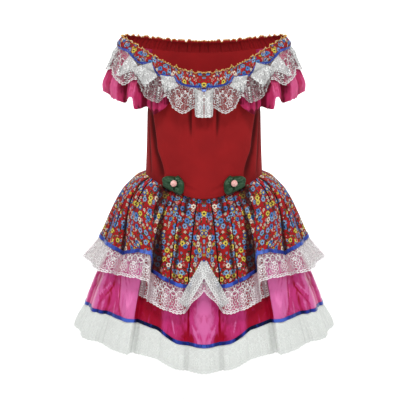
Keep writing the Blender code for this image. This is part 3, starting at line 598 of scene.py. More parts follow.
def make_cotton(name, dye, deep, overlocked=False):
    material, tree, shader, place = new_finish(name)
    cloud = add(tree, NOISE, {"Vector": place, "Scale": 0.02, "Detail": 3.0})
    slub = add(tree, NOISE, {"Vector": place, "Scale": 0.7, "Detail": 2.0})
    mottle = add(tree, MATH, [cloud, slub, 0.15], operation="MULTIPLY_ADD")
    shade = add(tree, RANGE, [cloud, 0.35, 0.68, 0.0, 1.0])
    colour = add(tree, MIX, [shade, linear(deep), linear(dye)])
    if overlocked:
        colour = overlock(tree, place, colour)
    # Painted shade in the valleys and a little painted light on the crests.
    colour = paint_shade_and_highlight(tree, colour, "#8a6a6a", dye, 0.3)
    height = add(tree, MATH, [threads(tree, place, WEAVE_PITCH), mottle], operation="ADD")
    dress_up(tree, shader, colour, height, 0.00012, Roughness=0.85, Specular_IOR_Level=0.15,
             **COTTON_FUR)
    return material


crimson_cotton = make_cotton("plain_weave_crimson_cotton", "#991a1d", "#8e181b")
print("made", crimson_cotton.name)

# %% [markdown]
# ## Printed cotton
#
# The skirt and the neck casing are a country calico: red cotton, screen-printed all over with
# small blue, yellow and cream flowers up to 12 mm across, with buds and leaves between them.
# Each kind of flower is one field of scattered cells. In a cell the distance from the middle
# gives the eye, the petals and the dark outline, and the angle cuts the edge into petals.

# %% Fields of printed flowers
EYE = 0.38   # radius of a flower's eye, as a share of the flower's reach
INK = "#1c1413"
Field = namedtuple("Field", "cell jitter shift reach petals notch rim share dyes")
# dyes has a row for each colour: from which chance on it is drawn, the petals and the eye.
CALICO = table(
    Field,
    (4.6, 0.9, (3.1, 7.7, 0.0), 0.27, 1, 0.25, 0.0, 0.42,
     [(0.0, "#142b1c"), (0.5, "#e0d2bd"), (0.7, "#35548a"), (0.82, "#b98a2e")]),
    (7.8, 0.8, (5.3, 1.9, 0.0), 0.40, 2, 0.38, 0.0, 0.6,
     [(0.0, "#1c3a24"), (0.55, "#22301c"), (0.8, "#3c5a34")]),
    (9.4, 0.8, (9.3, 2.1, 0.0), 0.32, 5, 0.14, 0.06, 0.66,
     [(0.0, "#e6dac6", "#5a1416"), (0.38, "#7fa0c8", "#182c50"), (0.7, "#dcbf4a", "#2a3c20"),
      (0.86, "#d98a86", "#5a1416")]),
    (15.6, 0.8, (0.4, 5.2, 0.0), 0.37, 6, 0.12, 0.05, 0.82,
     [(0.0, "#4f7fbe", "#1b2a4a"), (0.34, "#7ea6cf", "#5a1416"), (0.56, "#dcc552", "#2c3a1e"),
      (0.72, "#e8dcc8", "#7a1e18"), (0.88, "#3d5f9e", "#dcc552")]))


def blossom(tree, place, under, field):
    """Print one field of flowers over the colour called under."""
    reach, rim, notch, soft = field.reach, field.rim, field.notch, 0.7 / field.cell
    spot = add(tree, VECTOR, [place, (1 / field.cell,) * 3, field.shift],
               operation="MULTIPLY_ADD")
    found = add(tree, CELLS, {"Vector": spot, "Scale": 1.0, "Randomness": field.jitter},
                voronoi_dimensions="2D").node.outputs
    offset = add(tree, VECTOR, [spot, found["Position"]], operation="SUBTRACT")
    far = found["Distance"]
    x, y = add(tree, SPLIT, [offset]).node.outputs[:2]
    angle = add(tree, MATH, [y, x], operation="ARCTAN2")
    dye_chance, size, print_chance = add(tree, "ShaderNodeSeparateColor",
                                         [found["Color"]]).node.outputs
    spun = add(tree, MATH, [size, 6.283, angle], operation="MULTIPLY_ADD")
    lobes = add(tree, MATH, [spun, float(field.petals)], operation="MULTIPLY")
    edge = add(tree, MATH, [add(tree, MATH, [lobes], operation="COSINE"), notch, 1.0 - notch],
               operation="MULTIPLY_ADD")
    grown = add(tree, MATH, [size, 0.25 * reach, 0.85 * reach], operation="MULTIPLY_ADD")
    edge = add(tree, MATH, [edge, grown], operation="MULTIPLY")
    inside = add(tree, MATH, [edge, far], operation="SUBTRACT")
    printed = add(tree, MATH, [print_chance, field.share], operation="LESS_THAN")
    result = under
    petals, eyes = ([(row[0], row[part]) for row in field.dyes] for part in (1, -1))
    for value, low, high, stops in ((inside, -rim - soft, -rim + soft, None),
                                    (inside, -soft, soft, petals),
                                    (far, reach * EYE - soft, reach * EYE + soft, eyes)):
        ends = (1.0, 0.0) if value is far else (0.0, 1.0)
        mask = add(tree, RANGE, [value, low, high, *ends])
        mask = add(tree, MATH, [mask, printed], operation="MULTIPLY")
        colour = linear(INK)
        if stops:
            colour = add(tree, RAMP, [dye_chance], stops=stops)
            colour.node.color_ramp.interpolation = "CONSTANT"
        result = add(tree, MIX, [mask, result, colour])
    return result


def make_calico(name, ground, deep, overlocked=False):
    material, tree, shader, place = new_finish(name)
    cloud = add(tree, NOISE, {"Vector": place, "Scale": 0.03, "Detail": 2.0})
    shade = add(tree, RANGE, [cloud, 0.35, 0.65, 0.0, 1.0])
    colour = add(tree, MIX, [shade, linear(deep), linear(ground)])
    for field in CALICO:
        colour = blossom(tree, place, colour, field)
    if overlocked:
        colour = overlock(tree, place, colour)
    # Painted shade in the valleys of the printed cotton.
    colour = paint_shade_and_highlight(tree, colour, "#735c5c", ground, 0.0)
    dress_up(tree, shader, colour, threads(tree, place, WEAVE_PITCH), 0.00010, Roughness=0.82,
             Specular_IOR_Level=0.2, **COTTON_FUR)
    return material


calico = make_calico("screen_printed_calico", "#b0171b", "#9a141a")
edged_calico = make_calico("screen_printed_calico_with_overlocked_edge", "#ab171b", "#93141a",
                           overlocked=True)
calico_reverse = make_cotton("reverse_of_the_calico", "#a01c20", "#90191c")
edged_reverse = make_cotton("reverse_of_the_calico_with_overlocked_edge", "#a01c20", "#90191c",
                            overlocked=True)
# Near-black calico for the faces in each pleat's groove: painted shadow inside the pleat.
pleat_shade = make_cotton("calico_painted_pleat_shadow", "#30080a", "#220506")
print("made", calico.name, "with", len(CALICO), "fields of flowers, and its plain reverse")

# %% [markdown]
# ## Pink satin and the ribbons
#
# The sleeves and the lower skirt are polyester satin: long floats of shiny filament on the face,
# so it mirrors the light softly in broad streaks and its folds go from near white to deep red.
# The narrow blue ribbon and the dark green bows are the same weave in other dyes. In the valleys
# of the folds the colour is painted deeper and the gloss is turned down, as painted shade, and the
# crests are painted lighter, as a painted highlight.

# %% Satin
GLOSS_IN_PAINTED_SHADE = 0.3
PAINTED_HIGHLIGHT_SHARE, STIR = 0.75, 0.42


def make_satin(name, dye, deep, painted_shade_colour, painted_highlight_colour, gloss, roughness, streak):
    material, tree, shader, place = new_finish(name)
    drawn = add(tree, VECTOR, [place, (1.0, 0.22, 0.0)], operation="MULTIPLY")
    floats = add(tree, NOISE, {"Vector": drawn, "Scale": 0.45, "Detail": 4.0})
    cloud = add(tree, NOISE, {"Vector": place, "Scale": streak, "Detail": 3.0})
    shade = add(tree, RANGE, [cloud, 0.3, 0.7, 0.0, 1.0])
    colour = add(tree, MIX, [shade, linear(deep), linear(dye)])
    bent = add(tree, VECTOR, [place, (1.0, 0.42, 0.0)], operation="MULTIPLY")
    ripple = add(tree, NOISE, {"Vector": bent, "Scale": 0.085, "Detail": 3.0, "Distortion": 0.9})
    stir = add(tree, RANGE, [ripple, 0.3, 0.7, -STIR, STIR])
    # Painted shade in the valleys and a painted highlight on the crests, stirred by streaky noise.
    colour = paint_shade_and_highlight(tree, colour, painted_shade_colour, painted_highlight_colour, PAINTED_HIGHLIGHT_SHARE, stir)
    soft = add(tree, RANGE, [floats, 0.3, 0.7, roughness - 0.04, roughness + 0.06])
    lie = add(tree, VALUE_OF, output=2, attribute_name="relief_for_painted_shading")
    # Gloss turned down in the valleys, as painted shade.
    gloss_with_painted_shade = add(tree, RANGE, [lie, -0.1, -0.9, 1.0, GLOSS_IN_PAINTED_SHADE])
    dress_up(tree, shader, colour, floats, 0.00007, Roughness=soft, Specular_IOR_Level=gloss_with_painted_shade,
             IOR=1.5, Specular_Tint=linear(gloss), Anisotropic=0.35, Sheen_Weight=0.08,
             Sheen_Roughness=0.35, Sheen_Tint=linear(gloss))
    return material


pink_satin = make_satin("polyester_satin_pink", "#cf3684", "#b8205f", "#cc4c5c", "#e678b8",
                        "#ffb4e2", 0.30, 0.022)
sleeve_satin = make_satin("polyester_satin_deep_pink", "#be2a5e", "#a01c4a", "#8a4a5c", "#d85c90",
                          "#ff9cc4", 0.36, 0.03)
blue_satin = make_satin("satin_ribbon_blue", "#2438a8", "#151d60", "#606060", "#4c6cd6",
                        "#a8c4ff", 0.32, 0.09)
green_satin = make_satin("satin_dark_green", "#1a3f24", "#112c18", "#808080", "#285536",
                         "#b9e0c0", 0.42, 0.05)
print("made four satins")

# %% [markdown]
# ## White lace
#
# The frills are machine lace, knitted from white nylon on a fine net, with a round flower every
# 32 mm, scrolls between the flowers, a row of small eyelets near the edge and a scalloped edge.
# Small round loops, linked like chain mail, fill the space between them. The holes really are
# open: the shader's alpha is low there. The real net has holes under a millimetre, finer than a
# pixel, so it is drawn about three times as coarse and partly see-through. Where gathers crowd
# the net, more threads lie behind each other and it lets less light pass.

# %% Lace pattern
LACE_REPEAT = 32.0
ROSE_HEIGHT, ROSE_REACH = 20.0, 12.5
SCALLOP, SCALLOP_DEEP = 8.0, 2.0
NET_PITCH, NET_SWING = 2.6, 0.14
LINK_RADIUS, LINK_THREAD, LINK_SOFT = 0.34, 0.05, 0.05   # shares of the pitch of the links
Pattern = namedtuple("Pattern", "motif ground thread mesh_thread fold_shade crowd pitch link")


def band(tree, value, middle, half, soft):
    """1 where a value is within half of middle, with soft sides."""
    away = add(tree, MATH, [add(tree, MATH, [value, middle], operation="SUBTRACT")],
               operation="ABSOLUTE")
    return add(tree, RANGE, [away, half, half + soft, 1.0, 0.0])


def cycle(tree, value, turns, kind="COSINE"):
    """The cosine, or the sine, of a value times turns."""
    return add(tree, MATH, [add(tree, MATH, [value, turns], operation="MULTIPLY")],
               operation=kind)


def gather_up(tree, values, how):
    """All values as one, by MAXIMUM or MULTIPLY."""
    result = values[0]
    for value in values[1:]:
        result = add(tree, MATH, [result, value], operation=how)
    return result


def make_lace(name, *looks):
    """Lace on a net. The map's second value is the height above the scalloped edge."""
    look = Pattern(*looks)
    material, tree, shader, place = new_finish(name)
    u, v = add(tree, SPLIT, [place]).node.outputs[:2]

    def from_middle(pitch, height):
        """Offset from the middle of a repeat, as x and y."""
        turned = add(tree, MATH, [u, pitch], operation="FLOORED_MODULO")
        return (add(tree, MATH, [turned, pitch / 2], operation="SUBTRACT"),
                add(tree, MATH, [v, height], operation="SUBTRACT"))

    def length(x, y):
        return add(tree, VECTOR, [add(tree, BUILD, [x, y, 0.0])], 1, operation="LENGTH")

    def above_scroll(swing, height):
        scroll = add(tree, MATH, [cycle(tree, u, TWO_PI / LACE_REPEAT), swing,
                                  ROSE_HEIGHT + height], operation="MULTIPLY_ADD")
        return add(tree, MATH, [v, scroll], operation="SUBTRACT")

    x, y = from_middle(LACE_REPEAT, ROSE_HEIGHT)
    far = length(x, y)
    petals = cycle(tree, add(tree, MATH, [y, x], operation="ARCTAN2"), 7.0)
    petal_edge = add(tree, MATH, [petals, 1.5, far], operation="MULTIPLY_ADD")
    inner_edge = add(tree, MATH, [petals, -0.8, far], operation="MULTIPLY_ADD")
    petal_net = gather_up(tree, [
        add(tree, RANGE, [petal_edge, ROSE_REACH - 3.0, ROSE_REACH - 2.4, 1.0, 0.0]),
        add(tree, RANGE, [far, 5.2, 5.8, 0.0, 1.0]), 0.22], "MULTIPLY")
    vine = above_scroll(7.5, 13.0)
    leaf = add(tree, MATH, [cycle(tree, u, 4 * TWO_PI / LACE_REPEAT), 1.3, 3.0],
               operation="MULTIPLY_ADD")
    leaves = gather_up(tree, [band(tree, vine, 3.4, 1.2, 0.5),
                              add(tree, RANGE, [leaf, 3.0, 3.4, 0.0, 1.0])], "MULTIPLY")
    scallop = add(tree, MATH, [cycle(tree, u, math.pi / SCALLOP, "SINE")], operation="ABSOLUTE")
    border = add(tree, MATH, [scallop, SCALLOP_DEEP, v], operation="MULTIPLY_ADD")
    link = add(tree, CELLS, {"Vector": place, "Scale": 1 / look.pitch, "Randomness": 0.4},
               voronoi_dimensions="2D")
    links = gather_up(tree, [
        band(tree, link, LINK_RADIUS, LINK_THREAD, LINK_SOFT),
        add(tree, RANGE, [petal_edge, ROSE_REACH - 2.0, ROSE_REACH + 1.0, 0.0, 1.0]),
        add(tree, RANGE, [v, 5.0, 6.5, 0.0, look.link])], "MULTIPLY")
    motif = gather_up(tree, [
        band(tree, petal_edge, ROSE_REACH - 2.6, 0.5, 0.5), band(tree, inner_edge, 5.0, 0.6, 0.5),
        add(tree, RANGE, [far, 1.7, 2.3, 1.0, 0.0]), petal_net, leaves, links,
        band(tree, vine, 0.0, 0.65, 0.5), band(tree, above_scroll(-6.0, 17.0), 0.0, 0.45, 0.5),
        band(tree, border, SCALLOP_DEEP + 0.2, 0.9, 0.3),
        band(tree, border, SCALLOP_DEEP + 4.6, 0.5, 0.4),
        band(tree, length(*from_middle(SCALLOP, 2.6)), 1.6, 0.5, 0.3)], "MAXIMUM")
    net = add(tree, CELLS, {"Vector": place, "Scale": 1 / NET_PITCH, "Randomness": 0.25},
              voronoi_dimensions="2D", feature="DISTANCE_TO_EDGE")
    net = add(tree, RANGE, [net, 0.09, 0.2, 1.0, 0.0])
    ground = add(tree, RANGE, [net, 0.0, 1.0, look.ground - NET_SWING, look.ground + NET_SWING])
    lie = add(tree, VALUE_OF, output=2, attribute_name="relief_for_painted_shading")
    crowded = add(tree, RANGE, [lie, 0.2, 0.9, 0.0, look.crowd], interpolation_type="SMOOTHSTEP")
    ground = add(tree, MATH, [ground, crowded], operation="ADD", use_clamp=True)
    solid = add(tree, MATH, [add(tree, MATH, [motif, look.motif], operation="MULTIPLY"),
                             ground], operation="MAXIMUM")
    height = add(tree, MATH, [motif, add(tree, MATH, [net, 0.3], operation="MULTIPLY")],
                 operation="ADD")
    colour = add(tree, MIX, [motif, linear(look.mesh_thread), linear(look.thread)])
    # Painted grey shade in the valleys and a little painted light on the crests.
    colour = paint_shade_and_highlight(tree, colour, look.fold_shade, look.thread, 0.3)
    dress_up(tree, shader, colour, height, 0.0003, Roughness=0.7, Sheen_Weight=0.1, IOR=1.5,
             Alpha=solid)
    return material


# In the first two laces the net threads are tinted pink, as painted pink light from the satin and
# cotton under them.
lace = make_lace("nylon_lace_white", 0.97, 0.0, "#f6f3f4", "#e8ccd4", "#c0b0b6", 0.45, 9.5, 0.62)
neck_lace = make_lace("nylon_lace_white_fine", 0.9, -0.04, "#e6e6e5", "#b8a4a6", "#96908f", 0.1,
                      7.0, 0.5)
double_lace = make_lace("nylon_lace_white_doubled", 0.97, 0.52, "#f1f2f1", "#dcdddc", "#a8abae",
                        0.2, 8.0, 0.7)
hem_lace = make_lace("nylon_lace_close_white", 0.98, 0.92, "#eef2ee", "#e9ede9", "#ececec", 0.0,
                     8.0, 0.5)
print("made lace with a repeat of", LACE_REPEAT, "mm")


# %% [markdown]
# ## Pearly beads
#
# A round bead of moulded plastic with a pearly coat sits on each bow. The colour under the coat
# is a cloudy pale pink, and the coat is clear and smooth, so it mirrors the lights in a small
# bright spot.

# %% Pearly bead, pale pink
def make_bead():
    material, tree, shader, _ = new_finish("pearl_pink_bead")
    spot = add(tree, "ShaderNodeTexCoord", output=3)
    cloud = add(tree, NOISE, {"Vector": spot, "Scale": 120.0, "Detail": 2.0})
    colour = add(tree, MIX, [cloud, linear("#f7cfc6"), linear("#ee9f98")])
    dress_up(tree, shader, colour, cloud, 0.0002, Roughness=0.25, Coat_Weight=0.5,
             Coat_Roughness=0.15, IOR=1.53)
    return material


bead_finish = make_bead()
print("made", bead_finish.name)


# %% [markdown]
# ## Sewing
#
# Each piece of cloth rides on the dress and takes the place of the solid walls of the same part.
# A skirt comes in two panels. The lace that lies double on both sides of the dress is one piece
# made of several layers.

# %% Putting a piece on the frame
def wear(piece, finishes, slot, nodes, flat=None, held="gathered", rests_on=(), area=None):
    """Give a piece its finishes, let it ride on the dress and stand for its solids."""
    for finish in finishes if isinstance(finishes, tuple) else (finishes, finishes):
        piece.data.materials.append(finish)
    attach(piece, "root")
    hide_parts(*nodes)
    faces = sum(len(face.vertices) - 2 for face in piece.data.polygons)
    cloth = sum(face.area for face in piece.data.polygons) / 2
    print(f"{piece.name}: {faces} triangles, {cloth:.4f} square metres of cloth")


def sew(name, cloth, thickness, finishes, slot, nodes, shift=0.0, ring=False, **cut):
    """One piece from one cloth. cut is not used."""
    wear(shell(name, cloth, thickness, shift, ring), finishes, slot, nodes, **cut)


def sew_panels(skirt, half, turn, thickness, finishes, slot, **cut):
    """The front and the back panel of a skirt."""
    ring = all_round(half)
    for side in ("front", "back"):
        sew(f"{skirt}_{side}_cloth", panel(ring, turn, side == "front"), thickness, finishes,
            slot, [f"{skirt}_{side}"], rests_on=["bodice_front"], **cut)


def sew_layers(name, cloths, finish, node, shift=0.0, **cut):
    """Layers of one length of lace that lie alike on both sides, as one piece."""
    mesh = bmesh.new()
    sides = [side for cloth in cloths for side in (cloth, mirrored(cloth))]
    for number, side in enumerate(sides):
        layer = shell(f"{name}_{number}", side, LACE_THICK, shift)
        mesh.from_mesh(layer.data)
        if number == 0:
            data = layer.data.copy()
        bpy.data.objects.remove(layer)
    mesh.to_mesh(data)
    mesh.free()
    data.name = name
    wear(in_scene(name, data), finish, "white_lace", [node], **cut)


print("solids to cover with cloth:", len(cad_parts))

# %% [markdown]
# ## The printed overskirt
#
# It is cut as two gathered panels. Pressed pleats and fold lines break the print, so the map is
# restarted at each deep one: a gore of cloth between two lines carries the print straight down
# its own middle, as the real panel does, and a flower that meets a line disappears into the
# pleat.

# %% Overskirt sizes
Groove = namedtuple("Groove", "fold_deg slant start end deep rise run")
OVER_COLUMNS, OVER_ROWS, OVER_ROWS_CLOSER = 92, 42, 1.1
OVER_PER_DEGREE = 4.7   # millimetres of cloth
TOP_ROW = 0.4   # drop of the first row below the seam
PRESSED_PLEATS = table(
    Groove, (8.8, -0.2, 0, 210, 7.0, 2.6, 12), (20.6, -1.2, 0, 210, 7.0, 2.8, 13),
    (14.4, 0.3, 2, 34, 3.5, 1.0, 6), (27.5, -0.5, 2, 60, 4.0, 1.6, 8),
    (51.8, 1.6, -9, 78, 7.0, 2.6, 10), (55.4, 1.8, -4, 72, 4.5, 1.6, 6),
    (65.5, 1.0, -9, 135, 5.5, 2.2, 12), (76.0, 0.6, -9, 90, 4.5, 2.0, 10),
    (84.5, 0.4, -9, 150, 6.0, 2.6, 12), (96.0, 0.0, -9, 80, 4.5, 2.0, 10),
    (106.5, 0.0, -9, 150, 6.5, 2.6, 12), (119.5, -0.4, -9, 110, 5.5, 2.4, 12),
    (131.5, -0.6, -9, 170, 6.5, 2.8, 13), (142.5, -0.6, -9, 90, 4.5, 2.0, 10),
    (152.0, -0.3, -9, 190, 6.5, 2.8, 13), (161.5, 0.0, -9, 90, 4.5, 2.0, 10),
    (171.0, 0.0, -9, 190, 6.5, 2.6, 12))
GROOVE_WIDTH, GROOVE_FAR_SIDE, GROOVE_CLEAR = 1.5, 2.2, 4.4
GROOVE_GROWS, GROOVE_FADES = 14.0, 36.0
GROOVE_COLUMNS = np.array([-3.4, -2.2, -1.2, -0.5, 0.5, 1.2, 2.2, 3.4])
# The painted pleat shadow covers faces this near a pleat's line and stops this far above its end.
PLEAT_GAP, PLEAT_CLOSES = 1.9, 34.0
SLANT_REACH = 2.6   # degrees
OVERSKIRT_CREASES = table(
    Crease, (61, 10, 56, 150, 8.0, 8), (43, 8, 39, 132, 7.5, 4, 5.5), (17, 40, 18, 180, 3.0, 9),
    (5.5, 30, 6, 170, 3.0, 8), (80, 10, 78, 150, 5.0, 8), (100, 10, 101, 150, 5.0, 8),
    (124, 10, 126, 150, 6.0, 9), (147, 10, 146, 160, 5.5, 9), (168, 10, 168, 170, 4.5, 9),
    (14, 20, 15, 90, 2.0, 6), (4, 40, 3, 110, 1.4, 6), (25, 40, 24, 130, 1.8, 6),
    (36, 20, 33, 80, 2.4, 6), (44, 60, 52, 128, 2.4, 6), (61, 20, 66, 110, 2.4, 7),
    (71, 30, 75, 120, 2.4, 7), (83, 60, 79, 130, 2.0, 6), (92, 20, 96, 120, 2.2, 7),
    (104, 60, 101, 140, 2.4, 7), (114, 20, 117, 110, 2.2, 6), (129, 40, 126, 130, 2.4, 7),
    (146, 25, 149, 120, 2.2, 7), (163, 30, 160, 140, 2.4, 7))
WAIST_GATHERS, BROAD_WAVES = Wave(1.6, 12.0, 4), Wave(1.0, 44.0, 9)
GATHER_AT_SEAM, GATHER_FULL, GATHER_FADES, BROAD_FULL = 0.45, 22.0, 75.0, 60.0
# Patches of painted shade: beside the flap, in two recesses, and all round just below the waist
# seam.
OVERSKIRT_PAINTED_SHADE = table(
    Patch, (45.5, 10, 40.5, 140, 38, 10, 27, 140, 1.0, 3.5, -0.75),
    (63, 20, 58, 140, 58, 20, 54, 140, 2.0, 1.5, -0.5),
    (20, 20, 19, 170, 13, 40, 14, 170, 0.8, 4.0, -0.35),
    (220, 4, -20, 36, -50, 4, -50, 36, 12.0, 1.0, -0.45))


def fold_turn(place, drop):
    """The angle where a place in the table of folds lies at a drop: fold_angle turned round."""
    waist, hem = column(SKIRT_FOLDS, "waist_deg"), column(SKIRT_FOLDS, "hem_deg")
    return np.array([np.interp(where, waist + (1 - settled) * (hem - waist), waist)
                     for where, settled in zip(place, ramp(drop, 0, FOLD_SETTLES))])


def hem_drop(turn):
    return read(OVERSKIRT_HEM, "degrees", "drop", turn, straight)


def overskirt_edge(turn):
    return skirt_point(turn, hem_drop(turn), overskirt_out(turn, hem_drop(turn)))


def fold_columns():
    """Places of the columns in the table of folds, with extra ones in each pressed pleat."""
    plain = half_turn(overskirt_edge, OVER_COLUMNS)
    for groove in PRESSED_PLEATS:
        clear = abs(plain - groove.fold_deg) > GROOVE_CLEAR / OVER_PER_DEGREE
        extra = groove.fold_deg + GROOVE_COLUMNS / OVER_PER_DEGREE
        plain = np.sort(np.concatenate([plain[clear | np.isin(plain, (0, 90, 180))], extra]))
    return plain


print(len(PRESSED_PLEATS), "pressed pleats on each half")


# %% Overskirt cloth
def pressed(place, drop):
    """Height of the pressed pleats: the cloth rises to each line and dips sharply in it."""
    total = np.zeros(np.broadcast(place, drop).shape)
    for groove in PRESSED_PLEATS:
        away = (place - groove.fold_deg) * OVER_PER_DEGREE
        fade = (ramp(drop, groove.start, groove.start + GROOVE_GROWS)
                * ramp(drop, groove.end, groove.end - GROOVE_FADES))
        rise = np.where(away < 0, np.exp(away / groove.run),
                        np.exp(-(away / GROOVE_FAR_SIDE) ** 2))
        line = np.exp(-(away / GROOVE_WIDTH) ** 2)
        total += fade * (groove.rise * rise - (groove.deep + groove.rise) * line)
    return total


def in_pleat(place, drops):
    """2 for the faces in the groove of a pressed pleat, which wear the near-black painted pleat
    shadow, 0 for the others.
    """
    middle = (place[1:] + place[:-1]) / 2
    drop = (drops[1:, 1:] + drops[:-1, :-1]) / 2
    inside = np.zeros(drop.shape, dtype=np.int32)
    for groove in PRESSED_PLEATS:
        near = abs(middle - groove.fold_deg) * OVER_PER_DEGREE < PLEAT_GAP
        inside[near[None] & (drop > groove.start) & (drop < groove.end - PLEAT_CLOSES)] = 2
    return inside


def slanted(place, drop):
    """Sideways shift of the columns that makes a pressed pleat run at its own slant."""
    near = sum(groove.slant * np.exp(-((place - groove.fold_deg) / SLANT_REACH) ** 2)
               for groove in PRESSED_PLEATS)
    return near * ramp(drop, FOLD_SETTLES, 0)


def overskirt_surface(place, drop, along_waist):
    """The overskirt with its pleats, creases and waist gathers."""
    fade = (ramp(drop, GATHER_FADES, 0)
            * np.minimum(1, GATHER_AT_SEAM + (1 - GATHER_AT_SEAM) * drop / GATHER_FULL))
    turn = fold_turn(place, drop)
    out = (overskirt_out(turn, drop) + pressed(place, drop)
           - troughs(OVERSKIRT_CREASES, place, drop, OVER_PER_DEGREE)
           + fade * uneven(along_waist, WAIST_GATHERS)
           + ramp(drop, 0, BROAD_FULL) * uneven(place * OVER_PER_DEGREE, BROAD_WAVES))
    return skirt_point(turn + slanted(place, drop), drop, out)


def along_edge(points):
    """Length of cloth from the first point of one row."""
    return lengths_across(points[None])[0]


over_place = fold_columns()
over_hem = hem_drop(fold_turn(over_place, hem_drop(over_place)))
over_waist = along_edge(skirt_point(over_place, 0 * over_place, 0 * over_place))
over_drops = np.maximum(np.linspace(0, 1, OVER_ROWS)[:, None] ** OVER_ROWS_CLOSER * over_hem,
                        TOP_ROW)
over_points = np.array([overskirt_surface(over_place, drop, over_waist) for drop in over_drops])
print("overskirt hem, half way round:", round(lengths_across(over_points)[-1, -1]), "mm")

# %% The print's map, gore by gore
GORE_APART, DEEP_PLEAT = 97.0, 5.0


def gore_map(place, across):
    """Map values across the cloth that restart at each deep pressed pleat."""
    lines = sorted(groove.fold_deg for groove in PRESSED_PLEATS if groove.deep > DEEP_PLEAT)
    edges = np.array([-lines[0]] + lines + [360 - lines[-1]])
    gore = np.searchsorted(edges, (place[1:] + place[:-1]) / 2) - 1
    start = np.array([np.interp((edges[1:] + edges[:-1]) / 2, place, row) for row in across])
    shift = GORE_APART * gore - start[:, gore]
    return np.stack([across[:, :-1] + shift, across[:, 1:] + shift], -1)


over_half = Cloth(over_points, gore_map(over_place, lengths_across(over_points)),
                  lengths_down(over_points), patches(OVERSKIRT_PAINTED_SHADE, over_place, over_drops),
                  marks=in_pleat(over_place, over_drops))
sew_panels("overskirt", over_half, over_place, COTTON_THICK,
           (calico, calico_reverse, pleat_shade), "printed_cotton", flat=(0.80, 0.18), area=0.115)

# %% [markdown]
# ## Lace and ribbon round the overskirt
#
# The lace is one long strip gathered on to the hem. It turns up round the inverted V at the
# front, and its gathers open out towards the scalloped edge. The ribbon is sewn over the seam.

# %% Gathered lace
STEEPEST = 1.6
LACE_SEAM, LACE_CURL = 0.6, 1.3
TUCK_DEEP, TUCK_LONG = 1.0, 5.0
TOOTH = 2.2
FRILL_COLUMNS, FRILL_GATHER, GATHERS_OPEN = 330, 21.0, 0.5
FRILL_ROWS = (-0.04, 0.0, 0.05, 0.12, 0.2, 0.3, 0.4, 0.5, 0.6, 0.7, 0.8, 0.88, 0.95, 1.0)


def steepness(points):
    """Drop for each millimetre square to a hem: 1 where it is level, more where it climbs."""
    along = np.gradient(points, axis=0)
    level = np.hypot(along[:, 0], along[:, 1])
    return np.minimum(np.hypot(1, along[:, 2] / level), STEEPEST)


def scallops(along, depth):
    """Extra length of a scalloped edge."""
    return depth * (np.abs(np.sin(np.pi * along / SCALLOP)) ** 0.7 - 1)


def gathers(along, deep, long, seed):
    """Two waves along a gathered edge, one half as deep and about half as long as the other."""
    return uneven(along, Wave(deep, long, seed), Wave(0.5 * deep, 0.45 * long, seed + 1))


def frill(skirt, finish, edge, lengths, point_at, tooth, deep, seed, **cut):
    """A frill round a hem: point_at gives its points from angle, fall below the hem and share."""
    turn = half_turn(edge, FRILL_COLUMNS)
    along = along_edge(edge(turn))
    nominal = read(lengths, "degrees", "length", turn)
    falls = [(nominal + scallops(along, tooth)) * share for share in FRILL_ROWS]
    waves = gathers(along, deep, FRILL_GATHER, seed)
    points = [point_at(turn, fall, share, min(1, share / GATHERS_OPEN) * waves)
              for fall, share in zip(falls, FRILL_ROWS)]
    sew(skirt + "_lace_frill", all_round(cloth_of(points, along, nominal - np.array(falls))),
        LACE_THICK, finish, "white_lace", [skirt + "_lace"], ring=True,
        rests_on=[skirt + "_front", skirt + "_back"], **cut)


def tucked(fall):
    """The lace lies a little behind the hem where it is sewn on."""
    return -TUCK_DEEP * ramp(fall, TUCK_LONG, 0)


def overskirt_lace_point(turn, fall, share, waves):
    hem, steep = hem_drop(turn), steepness(overskirt_edge(turn))
    flare = read(OVERSKIRT_LACE, "degrees", "flare", turn)
    out = overskirt_out(turn, hem) + flare * max(share, 0) ** LACE_CURL + waves + tucked(fall)
    return skirt_point(turn, hem + LACE_SEAM * steep + fall, out)


frill("overskirt", lace, overskirt_edge, OVERSKIRT_LACE, overskirt_lace_point, tooth=TOOTH,
      deep=1.9, seed=21, flat=(1.9, 0.057), area=0.095)

# %% [markdown]
# ## Where the overskirt's lace lies double
#
# A gathered strip does not stay in one layer. It runs on inside the deep fold, behind the flap.
# At the sides the surplus is folded under, which makes the lace there plain white. Along the
# inverted V it is folded to a straight narrow strip that lies over the edge.

# %% Lace inside the deep fold
INNER_TOP, INNER_OFF, INNER_WAVES = 190.0, 4.0, Wave(0.8, 17.0, 27)
INNER_HEM = table(Hem, (25, 229), (30, 224), (36, 223), (38.9, 220))
inner_turn = np.linspace(INNER_HEM[0].degrees, INNER_HEM[-1].degrees, 60)
inner_low = read(INNER_HEM, "degrees", "drop", inner_turn, straight)
inner_along = along_edge(skirt_point(inner_turn, inner_low, 0 * inner_turn))
inner_share = np.linspace(0, 1, 10)[:, None]
inner_drop = INNER_TOP + (inner_low + scallops(inner_along, TOOTH) - INNER_TOP) * inner_share
inner_out = underskirt_out(inner_turn, inner_drop) + INNER_OFF + uneven(inner_along, INNER_WAVES)
inner_lace = cloth_of(skirt_point(inner_turn, inner_drop, inner_out), inner_along,
                      inner_low - inner_drop)
sew_layers("overskirt_lace_in_the_folds", [inner_lace], lace, "overskirt_lace",
           flat=(0.12, 0.034), rests_on=["overskirt_lace_frill"])

